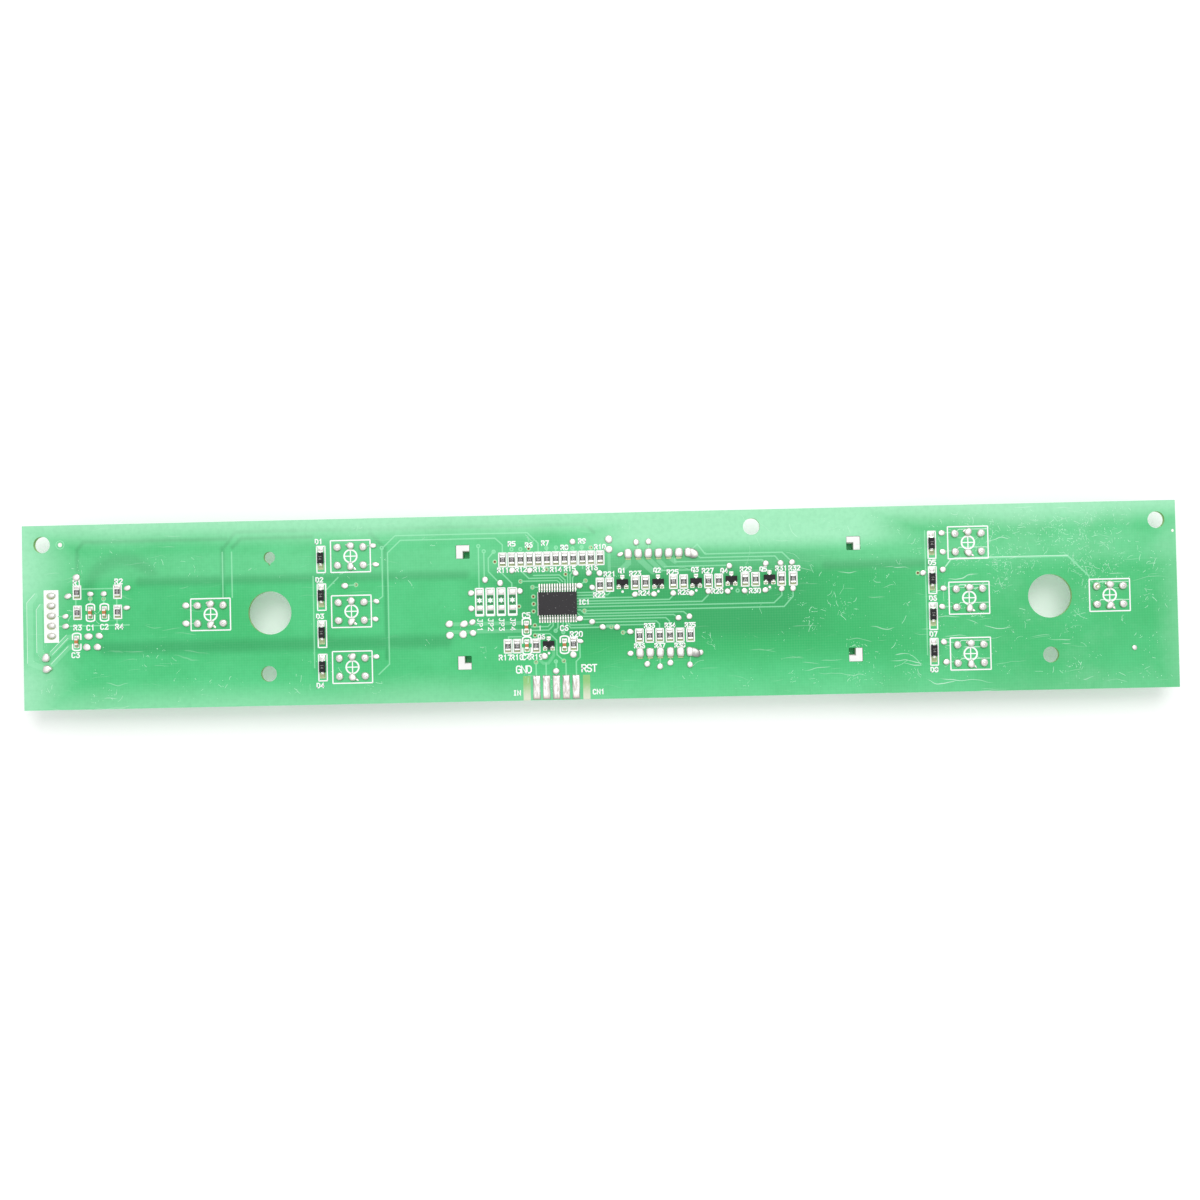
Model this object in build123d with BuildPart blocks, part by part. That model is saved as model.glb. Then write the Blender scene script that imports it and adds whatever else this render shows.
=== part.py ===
from build123d import *
import math
import os

os.makedirs("parts", exist_ok=True)

# Sub circuit board: a long front-panel board that carries a light-emitting display, eight lit
# push switches, a wire header and an electrolytic capacitor on its lower face, and the chip
# components with every soldered joint on its upper face.
#
# Frame, in millimetres: +X runs along the board, +Y across it towards the edge with the three
# screw holes, +Z up. The origin is at the middle of the board's outline, on the surface that
# the display's face rests on, so the board lies component side down and solder side up.

# ------------------------------------------------------------------ driving dimensions
board_length = 290.0
board_width = 46.7
board_thickness = 1.6
board_bottom = 9.8  # lower face of the board above the resting surface
board_top = board_bottom + board_thickness

screw_hole_d = 4.2
screw_holes = [(-140.0, 18.5), (39.35, 19.1), (140.2, 18.5)]
light_hole_d = 10.9
light_holes = [(-82.3, 0.05), (113.4, 0.05)]
locating_hole_d = 4.0
locating_holes = [(-82.8, -15.3), (113.3, -14.6)]
keyed_hole_d = 2.9
keyed_hole = (-82.2, 14.05)
keyed_tail = 2.15  # from the hole's centre to the point of its tail

pin_hole_d = 1.0
joint_height = 0.95  # a soldered joint above the board
pin_proud = 0.8  # a lead's end above the board, inside its joint

# Display
display_length = 101.3
display_width = 31.2
display_centre = (15.7, 0.38)
display_wall = 1.6
face_thickness = 0.5
front_plate = 1.2
substrate_bottom = 6.0
substrate_thickness = 1.0
cutout_size = 3.5
cutout_gap = 0.12
display_pin = 0.5
display_pin_pitch = 2.54
top_pins = [(8.3 + display_pin_pitch * k, 12.9) for k in range(7)]
bottom_pins = [(10.75 + display_pin_pitch * k, -12.0) for k in range(6)]
display_pins_at = top_pins + bottom_pins
digit_height = 16.0
digit_width = 9.0
digit_pitch = 13.2
segment_width = 1.8
well_wall = 0.7
lamp_window_d = 3.0

# Wire header
header_pitch = 2.54
header_pins = 5
header_centre = (-137.7, 0.5)
header_pin = 0.64
header_length = 15.2
header_depth = 5.8
header_height = 7.0
header_wall = 0.8
header_floor = 2.0
header_pins_at = [
    (header_centre[0], header_centre[1] + header_pitch * (k - (header_pins - 1) / 2))
    for k in range(header_pins)
]

# Electrolytic capacitor
can_d = 6.3
can_height = 7.4
can_lead_d = 0.5
can_leads_at = [(-139.0, -10.1), (-139.0, -12.9)]
can_centre = (-139.0, -11.5)

# Lit push switches
switch_body = 6.2
switch_height = 3.5
switch_pin_x = 3.25
switch_pin_y = 2.27
lamp_pin_y = 2.57
button_reach = 7.3  # tip of the cap from the board's lower face
button_travel = 0.3
switches = {
    "button_cap_left_outer": (-97.3, 0.0),
    "button_cap_left_top": (-61.65, 13.9),
    "button_cap_left_middle": (-61.65, 0.0),
    "button_cap_left_bottom": (-61.65, -14.05),
    "button_cap_right_top": (93.3, 13.85),
    "button_cap_right_middle": (93.3, 0.0),
    "button_cap_right_bottom": (93.3, -13.95),
    "button_cap_right_outer": (128.2, -0.05),
}
switch_centres = list(switches.values())
terminals_at = [
    (cx + sx * switch_pin_x, cy + sy * switch_pin_y)
    for cx, cy in switch_centres
    for sx in (-1, 1)
    for sy in (-1, 1)
]
lamp_leads_at = [(cx, cy + sy * lamp_pin_y) for cx, cy in switch_centres for sy in (-1, 1)]

# Chip components on the upper face
resistors = (
    [(-131.15, 6.25), (-131.1, 1.15), (-120.85, 6.25), (-120.85, 1.15)]
    + [(x, 12.1) for x in (-23.3, -20.95, -18.75, -16.5, -14.3, -12.1, -9.9, -7.7, -5.5, -3.2, -1.05, 1.25)]
    + [(-22.35, -9.65), (-20.05, -9.65), (-15.3, -9.65), (-5.85, -9.4)]
    + [(1.1, 5.3), (3.5, 5.3), (9.95, 5.65), (12.5, 5.65), (19.5, 5.65), (22.1, 5.65)]
    + [(28.3, 5.65), (30.9, 5.65), (37.5, 5.85), (40.1, 5.85), (46.6, 5.85), (49.5, 5.85)]
    + [(x, -7.7) for x in (10.7, 13.25, 15.8, 18.35, 20.9, 23.5)]
)
capacitors = [(-127.8, 1.1), (-124.25, 1.1), (-131.4, -6.2), (-17.6, -9.55), (-17.6, -4.9), (-8.15, -9.55)]
transistors = [(6.72, 5.9), (15.68, 5.8), (25.2, 5.8), (34.05, 6.15), (43.6, 6.25), (-12.1, -9.15)]
diodes = [
    (-69.2, 13.6), (-69.2, 4.15), (-69.2, -5.2), (-69.2, -13.8),
    (84.2, 13.85), (84.2, 5.0), (84.2, -3.9), (84.2, -12.95),
]  # fmt: skip

chip_w, chip_l = 1.25, 2.0
resistor_h = 0.5
cap_w, cap_l, capacitor_h = 0.85, 1.6, 0.8
end_length = 0.4
end_skin = 0.05

mcu_centre = (-9.65, 0.85)
mcu_length = 9.7
mcu_half_width = 2.9
mcu_leads_per_side = 15
mcu_pitch = 0.65

finger_width = 1.8
finger_length = 5.9
finger_pitch = 2.48
finger_thickness = 0.1
fingers = [(-15.35 + finger_pitch * k, -20.2) for k in range(5)]

# Soldered test pads: x, y, radius
test_points = [
    # beside the wire header
    (-131.2, 10.1, 0.95), (-133.4, 5.4, 0.9), (-134.1, 0.3, 0.75), (-134.1, -2.2, 0.85),
    (-127.7, 5.8, 0.75), (-124.3, 5.8, 0.75), (-118.3, 7.1, 0.85), (-118.5, 2.15, 0.85),
    (-128.3, -4.9, 1.0), (-125.6, -4.8, 0.95), (-128.8, -7.6, 1.0), (-126.1, -7.6, 1.0),
    # beside the left switches
    (-103.5, 2.37, 0.9), (-103.5, -2.17, 0.9), (-55.9, 16.45, 0.75), (-55.3, 11.7, 0.75),
    (-55.3, 2.4, 0.75), (-55.6, -2.05, 0.75), (-55.6, -11.5, 0.75), (-63.2, 6.5, 0.85),
    # six in two rows, left of the chip
    (-37.0, -3.7, 0.9), (-33.3, -3.8, 1.0), (-31.2, -3.4, 0.85),
    (-36.9, -6.55, 0.9), (-33.6, -6.4, 1.0), (-31.1, -6.1, 0.85),
    # round the chip
    (-27.8, 7.2, 0.82), (-24.0, 6.3, 0.82), (-31.4, 3.95, 0.82), (-31.4, 0.05, 0.82), (-19.1, 4.2, 0.8),
    (-20.95, 9.4, 0.8), (-16.5, 9.3, 0.8), (-5.6, 16.3, 0.8), (-5.0, 8.4, 0.8), (3.5, 16.7, 1.0),
    (3.5, 14.15, 0.95), (10.4, 15.8, 0.8), (13.5, 15.9, 0.8), (-1.65, 8.3, 0.8), (1.0, 8.25, 0.8),
    (-0.9, 4.7, 0.8), (-4.2, 5.2, 0.8), (-4.3, -3.05, 0.8), (-1.1, -3.9, 0.8), (1.5, -5.3, 0.8),
    (5.15, -5.4, 0.8), (8.4, -6.6, 0.8), (-13.2, -12.3, 0.85), (-4.2, -8.7, 0.8), (-6.0, -12.1, 0.85),
    (-10.4, -16.1, 0.82),
    # beside the display's leads
    (6.3, 12.85, 0.75), (8.35, -12.05, 0.8), (26.0, -12.2, 0.7),
    (12.5, -14.8, 0.8), (15.7, -15.5, 0.8), (18.3, -14.6, 0.8), (23.2, -15.2, 0.8),
    # along the transistor row
    (9.8, 2.7, 0.8), (14.6, 2.7, 0.8), (19.4, 2.8, 0.8), (24.0, 2.7, 0.8), (28.2, 3.1, 0.8), (33.05, 3.0, 0.8),
    (37.3, 3.0, 0.8), (42.5, 3.1, 0.8), (46.6, 3.35, 0.8), (49.4, 3.35, 0.8), (33.6, 9.35, 0.8),
    (42.7, 9.75, 0.8), (46.4, 9.8, 0.8), (49.3, 9.95, 0.8), (20.6, -3.4, 0.8), (23.3, -3.1, 0.8),
    # beside the right switches
    (86.8, 16.4, 0.8), (87.0, 11.65, 0.8), (81.9, 6.5, 0.8), (86.85, 7.2, 0.8), (86.9, 2.55, 0.8),
    (86.5, -2.05, 0.8), (86.7, -10.85, 0.8), (87.2, -15.85, 0.8),
    (134.0, -13.3, 0.65),
]  # fmt: skip
test_point_height = 0.6

# ------------------------------------------------------------------ derived positions
half_l, half_w = display_length / 2, display_width / 2
corner_signs = [(-1, -1), (-1, 1), (1, -1), (1, 1)]
cutouts = [
    (
        display_centre[0] + sx * (half_l + cutout_gap - cutout_size / 2),
        display_centre[1] + sy * (half_w + cutout_gap - cutout_size / 2),
    )
    for sx, sy in corner_signs
]
digit_centres = [(display_centre[0] + dx, display_centre[1]) for dx in (-22.2, -22.2 + digit_pitch, 22.2 - digit_pitch, 22.2)]
colon_dots = [(display_centre[0], display_centre[1] + dy) for dy in (-3.0, 3.0)]
side_lamps = [(display_centre[0] + sx * 36.0, display_centre[1] + dy) for sx in (-1, 1) for dy in (-8.0, 0.0, 8.0)]
level_bars = [(display_centre[0] + sx * 44.5, display_centre[1] + dy) for sx in (-1, 1) for dy in (-8.0, 0.0, 8.0)]


def bar_points(cx, cy, length, width, upright):
    """Corners of a six-sided display segment centred at cx, cy."""
    a, b = length / 2, width / 2
    flat = [(-a, 0), (-a + b, b), (a - b, b), (a, 0), (a - b, -b), (-a + b, -b)]
    return [(cx + y, cy + x) if upright else (cx + x, cy + y) for x, y in flat]


segments = []
for cx, cy in digit_centres:
    h, w = digit_height / 2 - segment_width / 2, digit_width / 2 - segment_width / 2
    for dy in (-h, 0, h):
        segments.append((cx, cy + dy, digit_width - segment_width - 0.5, False))
    for sx in (-1, 1):
        for sy in (-1, 1):
            segments.append((cx + sx * w, cy + sy * h / 2, h - 0.5, True))

# ------------------------------------------------------------------ circuit board
with BuildPart() as circuit_board:
    with BuildSketch(Plane.XY.offset(board_bottom)):
        Rectangle(board_length, board_width)
        with Locations(*screw_holes):
            Circle(screw_hole_d / 2, mode=Mode.SUBTRACT)
        with Locations(*light_holes):
            Circle(light_hole_d / 2, mode=Mode.SUBTRACT)
        with Locations(*locating_holes):
            Circle(locating_hole_d / 2, mode=Mode.SUBTRACT)
        with Locations(keyed_hole):
            Circle(keyed_hole_d / 2, mode=Mode.SUBTRACT)
            Polygon((-0.62, -1.1), (0, -keyed_tail), (0.62, -1.1), align=None, mode=Mode.SUBTRACT)
        with Locations(*cutouts):
            RectangleRounded(cutout_size, cutout_size, 0.25, mode=Mode.SUBTRACT)
        with Locations(*(display_pins_at + header_pins_at + can_leads_at + terminals_at + lamp_leads_at)):
            Circle(pin_hole_d / 2, mode=Mode.SUBTRACT)
    extrude(amount=board_thickness)
circuit_board.part.label = "circuit_board"
export_step(circuit_board.part, "parts/circuit_board.step")

with BuildPart() as edge_contacts:
    with BuildSketch(Plane.XY.offset(board_top)):
        with Locations(*fingers):
            RectangleRounded(finger_width, finger_length, 0.3)
    extrude(amount=finger_thickness)
edge_contacts.part.label = "edge_contacts"
export_step(edge_contacts.part, "parts/edge_contacts.step")

# ------------------------------------------------------------------ microcontroller
with BuildPart() as microcontroller_body:
    with BuildSketch(Plane.XY.offset(board_top + 0.5)):
        with Locations(mcu_centre):
            Rectangle(mcu_length, 2 * mcu_half_width)
    extrude(amount=0.2)
    extrude(faces().sort_by(Axis.Z)[-1], amount=0.55, taper=8)
    extrude(faces().sort_by(Axis.Z)[0], amount=0.4, taper=8)
    # shallow index dimple beside the first lead
    with BuildSketch(Plane.XY.offset(board_top + 1.25)):
        with Locations((mcu_centre[0] - mcu_length / 2 + 1.1, mcu_centre[1] - mcu_half_width + 1.1)):
            Circle(0.5)
    extrude(amount=-0.08, mode=Mode.SUBTRACT)
microcontroller_body.part.label = "microcontroller_body"
export_step(microcontroller_body.part, "parts/microcontroller_body.step")

with BuildPart() as gull_wing:
    with BuildSketch(Plane.YZ.offset(-0.11)):
        Polygon(
            (3.85, 0), (3.85, 0.15), (3.42, 0.15), (3.18, 0.68), (2.9, 0.68), (2.9, 0.53), (3.08, 0.53), (3.32, 0),
            align=None,
        )  # fmt: skip
    extrude(amount=0.22)

lead_xs = [mcu_pitch * (k - (mcu_leads_per_side - 1) / 2) for k in range(mcu_leads_per_side)]
with BuildPart() as microcontroller_leads:
    with Locations(*[Location((mcu_centre[0] + x, mcu_centre[1], board_top)) for x in lead_xs]):
        add(gull_wing.part, clean=False)
    with Locations(*[Location((mcu_centre[0] + x, mcu_centre[1], board_top), (0, 0, 180)) for x in lead_xs]):
        add(gull_wing.part, clean=False)
microcontroller_leads.part.label = "microcontroller_leads"
export_step(microcontroller_leads.part, "parts/microcontroller_leads.step")

# ------------------------------------------------------------------ transistors
with BuildPart() as transistor_body_shape:
    with BuildSketch(Plane.XY.offset(0.4)):
        Rectangle(2.9, 1.3)
    extrude(amount=0.2)
    extrude(faces().sort_by(Axis.Z)[-1], amount=0.45, taper=7)
    extrude(faces().sort_by(Axis.Z)[0], amount=0.32, taper=7)

with BuildPart() as transistor_bodies:
    with Locations(*[(x, y, board_top) for x, y in transistors]):
        add(transistor_body_shape.part, clean=False)
transistor_bodies.part.label = "transistor_bodies"
export_step(transistor_bodies.part, "parts/transistor_bodies.step")

with BuildPart() as transistor_lead_shape:
    with BuildSketch(Plane.YZ.offset(-0.21)):
        Polygon(
            (1.25, 0), (1.25, 0.12), (1.02, 0.12), (0.87, 0.56), (0.65, 0.56), (0.65, 0.44), (0.78, 0.44), (0.93, 0),
            align=None,
        )  # fmt: skip
    extrude(amount=0.42)

with BuildPart() as transistor_leads:
    with Locations(*[Location((x, y, board_top)) for x, y in transistors]):
        add(transistor_lead_shape.part, clean=False)
    with Locations(*[Location((x + dx, y, board_top), (0, 0, 180)) for x, y in transistors for dx in (-0.95, 0.95)]):
        add(transistor_lead_shape.part, clean=False)
transistor_leads.part.label = "transistor_leads"
export_step(transistor_leads.part, "parts/transistor_leads.step")

# ------------------------------------------------------------------ chip resistors
# Each is a ceramic block whose two ends are wrapped, over the top, the end and the bottom,
# by a thin metal skin.
with BuildPart() as resistor_bodies:
    with Locations(*[(x, y, board_top + end_skin) for x, y in resistors]):
        Box(chip_w, chip_l - 2 * end_skin, resistor_h - 2 * end_skin, align=(Align.CENTER, Align.CENTER, Align.MIN))
resistor_bodies.part.label = "resistor_bodies"
export_step(resistor_bodies.part, "parts/resistor_bodies.step")

with BuildPart() as resistor_end:
    with BuildSketch(Plane.YZ.offset(-chip_w / 2)):
        with Locations((chip_l / 2 - end_length / 2, resistor_h / 2)):
            Rectangle(end_length, resistor_h)
        with Locations((chip_l / 2 - end_length / 2 - end_skin / 2, resistor_h / 2)):
            Rectangle(end_length - end_skin, resistor_h - 2 * end_skin, mode=Mode.SUBTRACT)
    extrude(amount=chip_w)

with BuildPart() as resistor_ends:
    with Locations(*[Location((x, y, board_top), (0, 0, turn)) for x, y in resistors for turn in (0, 180)]):
        add(resistor_end.part, clean=False)
resistor_ends.part.label = "resistor_ends"
export_step(resistor_ends.part, "parts/resistor_ends.step")

# ------------------------------------------------------------------ chip capacitors
with BuildPart() as chip_capacitor_bodies:
    with Locations(*[(x, y, board_top + end_skin) for x, y in capacitors]):
        Box(cap_w, cap_l - 2 * end_skin, capacitor_h - 2 * end_skin, align=(Align.CENTER, Align.CENTER, Align.MIN))
chip_capacitor_bodies.part.label = "chip_capacitor_bodies"
export_step(chip_capacitor_bodies.part, "parts/chip_capacitor_bodies.step")

with BuildPart() as capacitor_end:
    with BuildSketch(Plane.YZ.offset(-cap_w / 2)):
        with Locations((cap_l / 2 - end_length / 2, capacitor_h / 2)):
            Rectangle(end_length, capacitor_h)
        with Locations((cap_l / 2 - end_length / 2 - end_skin / 2, capacitor_h / 2)):
            Rectangle(end_length - end_skin, capacitor_h - 2 * end_skin, mode=Mode.SUBTRACT)
    extrude(amount=cap_w)

with BuildPart() as chip_capacitor_ends:
    with Locations(*[Location((x, y, board_top), (0, 0, turn)) for x, y in capacitors for turn in (0, 180)]):
        add(capacitor_end.part, clean=False)
chip_capacitor_ends.part.label = "chip_capacitor_ends"
export_step(chip_capacitor_ends.part, "parts/chip_capacitor_ends.step")

# ------------------------------------------------------------------ diodes
with BuildPart() as diode_body_shape:
    with BuildSketch(Plane.XY.offset(0.42)):
        Rectangle(1.55, 2.7)
    extrude(amount=0.22)
    extrude(faces().sort_by(Axis.Z)[-1], amount=0.48, taper=6)
    extrude(faces().sort_by(Axis.Z)[0], amount=0.34, taper=6)

with BuildPart() as diode_bodies:
    with Locations(*[(x, y, board_top) for x, y in diodes]):
        add(diode_body_shape.part, clean=False)
diode_bodies.part.label = "diode_bodies"
export_step(diode_bodies.part, "parts/diode_bodies.step")

with BuildPart() as diode_lead_shape:
    with BuildSketch(Plane.YZ.offset(-0.3)):
        Polygon(
            (1.9, 0), (1.9, 0.13), (1.66, 0.13), (1.55, 0.6), (1.35, 0.6), (1.35, 0.47), (1.46, 0.47), (1.57, 0),
            align=None,
        )  # fmt: skip
    extrude(amount=0.6)

with BuildPart() as diode_leads:
    with Locations(*[Location((x, y, board_top), (0, 0, turn)) for x, y in diodes for turn in (0, 180)]):
        add(diode_lead_shape.part, clean=False)
diode_leads.part.label = "diode_leads"
export_step(diode_leads.part, "parts/diode_leads.step")

# ------------------------------------------------------------------ display
with BuildPart() as display_housing:
    # front plate
    with BuildSketch(Plane.XY.offset(face_thickness)):
        with Locations(display_centre):
            Rectangle(display_length, display_width)
    extrude(amount=front_plate)
    # side walls up to the board
    with BuildSketch(Plane.XY.offset(face_thickness + front_plate)):
        with Locations(display_centre):
            Rectangle(display_length, display_width)
            Rectangle(display_length - 2 * display_wall, display_width - 2 * display_wall, mode=Mode.SUBTRACT)
    extrude(amount=board_bottom - face_thickness - front_plate)
    # walls of the light wells
    with BuildSketch(Plane.XY.offset(face_thickness + front_plate)):
        for cx, cy, length, upright in segments:
            Polygon(*bar_points(cx, cy, length + 2 * well_wall, segment_width + 2 * well_wall, upright), align=None)
        with Locations(*level_bars):
            Rectangle(6.0 + 2 * well_wall, 2.0 + 2 * well_wall)
        with Locations(*colon_dots):
            Circle(1.0 + well_wall)
        with Locations(*side_lamps):
            Circle(lamp_window_d / 2 + well_wall)
    extrude(amount=substrate_bottom - face_thickness - front_plate)
    # the wells themselves, open right through the front plate
    with BuildSketch(Plane.XY.offset(face_thickness)):
        for cx, cy, length, upright in segments:
            Polygon(*bar_points(cx, cy, length, segment_width, upright), align=None)
        with Locations(*level_bars):
            Rectangle(6.0, 2.0)
        with Locations(*colon_dots):
            Circle(1.0)
        with Locations(*side_lamps):
            Circle(lamp_window_d / 2)
    extrude(amount=substrate_bottom - face_thickness, mode=Mode.SUBTRACT)
    # corner legs that stand up through the board's square cut-outs
    with BuildSketch(Plane.XY.offset(board_bottom)):
        for sx, sy in corner_signs:
            with Locations((display_centre[0] + sx * (half_l - 1.65), display_centre[1] + sy * (half_w - 1.65))):
                Rectangle(3.3, 3.3)
            with Locations((display_centre[0] + sx * (half_l - 2.5), display_centre[1] + sy * (half_w - 2.45))):
                Rectangle(1.8, 2.1, mode=Mode.SUBTRACT)
    extrude(amount=board_thickness)
display_housing.part.label = "display_housing"
export_step(display_housing.part, "parts/display_housing.step")

with BuildPart() as display_face:
    with BuildSketch():
        with Locations(display_centre):
            RectangleRounded(display_length, display_width, 0.8)
    extrude(amount=face_thickness)
display_face.part.label = "display_face"
export_step(display_face.part, "parts/display_face.step")

with BuildPart() as display_substrate:
    with BuildSketch(Plane.XY.offset(substrate_bottom)):
        with Locations(display_centre):
            Rectangle(display_length - 2 * display_wall - 0.2, display_width - 2 * display_wall - 0.2)
        with Locations(*display_pins_at):
            Rectangle(display_pin, display_pin, mode=Mode.SUBTRACT)
    extrude(amount=substrate_thickness)
display_substrate.part.label = "display_substrate"
export_step(display_substrate.part, "parts/display_substrate.step")

with BuildPart() as display_leds:
    with Locations(*[(cx, cy, substrate_bottom) for cx, cy, length, upright in segments if not upright]):
        Box(1.6, 0.8, 0.6, align=(Align.CENTER, Align.CENTER, Align.MAX))
    with Locations(*[(cx, cy, substrate_bottom) for cx, cy, length, upright in segments if upright]):
        Box(0.8, 1.6, 0.6, align=(Align.CENTER, Align.CENTER, Align.MAX))
    with Locations(*[(cx, cy, substrate_bottom) for cx, cy in level_bars + side_lamps]):
        Box(1.6, 0.8, 0.6, align=(Align.CENTER, Align.CENTER, Align.MAX))
    with Locations(*[(cx, cy, substrate_bottom) for cx, cy in colon_dots]):
        Box(0.9, 0.8, 0.6, align=(Align.CENTER, Align.CENTER, Align.MAX))
display_leds.part.label = "display_leds"
export_step(display_leds.part, "parts/display_leds.step")

with BuildPart() as display_pins:
    with BuildSketch(Plane.XY.offset(substrate_bottom)):
        with Locations(*display_pins_at):
            Rectangle(display_pin, display_pin)
    extrude(amount=board_top + pin_proud - substrate_bottom)
display_pins.part.label = "display_pins"
export_step(display_pins.part, "parts/display_pins.step")

# ------------------------------------------------------------------ wire header
with BuildPart() as connector_housing:
    with BuildSketch(Plane.XY.offset(board_bottom - header_height)):
        with Locations(header_centre):
            Rectangle(header_depth, header_length)
    extrude(amount=header_height)
    # mouth, open downwards
    with BuildSketch(Plane.XY.offset(board_bottom - header_height)):
        with Locations(header_centre):
            Rectangle(header_depth - 2 * header_wall, header_length - 2 * header_wall)
    extrude(amount=header_height - header_floor, mode=Mode.SUBTRACT)
    # two keying slots in the wall that faces the board's end
    with BuildSketch(Plane.XY.offset(board_bottom - header_height)):
        for dy in (-4.0, 4.0):
            with Locations((header_centre[0] - header_depth / 2 + header_wall / 2, header_centre[1] + dy)):
                Rectangle(header_wall, 1.6)
    extrude(amount=3.6, mode=Mode.SUBTRACT)
    # holes for the pins through the floor
    with BuildSketch(Plane.XY.offset(board_bottom)):
        with Locations(*header_pins_at):
            Rectangle(header_pin, header_pin)
    extrude(amount=-header_floor, mode=Mode.SUBTRACT)
connector_housing.part.label = "connector_housing"
export_step(connector_housing.part, "parts/connector_housing.step")

with BuildPart() as connector_pins:
    with BuildSketch(Plane.XY.offset(board_bottom - header_height + 1.3)):
        with Locations(*header_pins_at):
            Rectangle(header_pin, header_pin)
    extrude(amount=board_top + pin_proud - (board_bottom - header_height + 1.3))
    chamfer(faces().filter_by(Axis.Z).group_by(Axis.Z)[0].edges(), length=0.18)
connector_pins.part.label = "connector_pins"
export_step(connector_pins.part, "parts/connector_pins.step")

# ------------------------------------------------------------------ electrolytic capacitor
can_low = board_bottom - can_height
can_high = board_bottom - 0.3
with BuildPart() as electrolytic_can:
    with BuildSketch(Plane.XZ) as can_profile:
        with BuildLine():
            Polyline(
                (0, can_low), (can_d / 2 - 0.35, can_low), (can_d / 2, can_low + 0.35), (can_d / 2, can_high - 1.5),
                (can_d / 2 - 0.3, can_high - 1.2), (can_d / 2 - 0.3, can_high - 0.8), (can_d / 2, can_high - 0.5),
                (can_d / 2, can_high), (can_d / 2 - 0.7, can_high), (can_d / 2 - 0.7, can_high - 1.9),
                (can_d / 2 - 0.35, can_high - 1.9), (can_d / 2 - 0.35, can_low + 0.35), (0, can_low + 0.35),
                close=True,
            )  # fmt: skip
        make_face()
    revolve(axis=Axis.Z)
electrolytic_can.part.move(Location((can_centre[0], can_centre[1], 0)))
electrolytic_can.part.label = "electrolytic_can"
export_step(electrolytic_can.part, "parts/electrolytic_can.step")

with BuildPart() as electrolytic_seal:
    with BuildSketch(Plane.XY.offset(can_high - 1.9)):
        with Locations(can_centre):
            Circle(can_d / 2 - 0.7)
        with Locations(*can_leads_at):
            Circle(can_lead_d / 2, mode=Mode.SUBTRACT)
    extrude(amount=board_bottom - (can_high - 1.9))
electrolytic_seal.part.label = "electrolytic_seal"
export_step(electrolytic_seal.part, "parts/electrolytic_seal.step")

with BuildPart() as electrolytic_winding:
    with BuildSketch(Plane.XY.offset(can_low + 0.35)):
        with Locations(can_centre):
            Circle(can_d / 2 - 0.4)
    extrude(amount=can_high - 1.9 - (can_low + 0.35))
electrolytic_winding.part.label = "electrolytic_winding"
export_step(electrolytic_winding.part, "parts/electrolytic_winding.step")

with BuildPart() as electrolytic_leads:
    with BuildSketch(Plane.XY.offset(can_high - 1.9)):
        with Locations(*can_leads_at):
            Circle(can_lead_d / 2)
    extrude(amount=board_top + pin_proud - (can_high - 1.9))
electrolytic_leads.part.label = "electrolytic_leads"
export_step(electrolytic_leads.part, "parts/electrolytic_leads.step")

# ------------------------------------------------------------------ lit push switches
# One of each switch piece is made about the switch's own centre, with z measured from the
# board's lower face, and is then repeated at the eight places.
recess_r = 2.6
recess_floor = -1.4
with BuildPart() as terminal_shape:
    # flat strip out of the base's side, turned up along it and through the board
    with BuildSketch(Plane.XZ.offset(-switch_pin_y - 0.35)):
        Polygon(
            (2.0, recess_floor), (3.4, recess_floor), (3.4, board_thickness + pin_proud),
            (3.1, board_thickness + pin_proud), (3.1, recess_floor + 0.3), (2.0, recess_floor + 0.3),
            align=None,
        )  # fmt: skip
    extrude(amount=0.7)

with BuildPart() as one_switch_terminals:
    add(terminal_shape.part)
    mirror(about=Plane.XZ)
    mirror(about=Plane.YZ)

with BuildPart() as lamp_lead_shape:
    # from the lamp's underside, along inside the base's floor, then up through the board
    with BuildSketch(Plane.YZ.offset(-0.25)):
        Polygon(
            (0.3, recess_floor), (0.7, recess_floor), (0.7, -0.9), (lamp_pin_y + 0.2, -0.9),
            (lamp_pin_y + 0.2, board_thickness + pin_proud), (lamp_pin_y - 0.2, board_thickness + pin_proud),
            (lamp_pin_y - 0.2, -0.5), (0.3, -0.5),
            align=None,
        )  # fmt: skip
    extrude(amount=0.5)

with BuildPart() as one_switch_lamp_leads:
    add(lamp_lead_shape.part)
    mirror(about=Plane.XZ)

with BuildPart() as one_switch_base:
    with BuildSketch(Plane.XY.offset(-switch_height)):
        RectangleRounded(switch_body, switch_body, 0.4)
    extrude(amount=switch_height)
    with BuildSketch(Plane.XY.offset(-switch_height)):
        Circle(recess_r)
    extrude(amount=switch_height + recess_floor, mode=Mode.SUBTRACT)
    # four posts that stand through the metal cover and are pressed over it
    with BuildSketch(Plane.XY.offset(-switch_height)):
        with GridLocations(4.9, 4.9, 2, 2):
            Circle(0.35)
    extrude(amount=-0.45)
    add(one_switch_terminals.part, mode=Mode.SUBTRACT)
    add(one_switch_lamp_leads.part, mode=Mode.SUBTRACT)

with BuildPart() as one_switch_cover:
    with BuildSketch(Plane.XY.offset(-switch_height - 0.25)):
        RectangleRounded(switch_body, switch_body, 0.4)
        Circle(1.95, mode=Mode.SUBTRACT)
        with GridLocations(4.9, 4.9, 2, 2):
            Circle(0.35, mode=Mode.SUBTRACT)
    extrude(amount=0.25)

with BuildPart() as one_switch_dome:
    # thin spring dome with a hole in its middle for the lamp
    with BuildSketch(Plane.XZ):
        with BuildLine():
            Polyline(
                (2.45, recess_floor),
                (1.95, recess_floor - 0.65),
                (1.2, recess_floor - 0.98),
                (1.2, recess_floor - 0.84),
                (1.86, recess_floor - 0.55),
                (2.25, recess_floor),
                close=True,
            )
        make_face()
    revolve(axis=Axis.Z)

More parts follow.
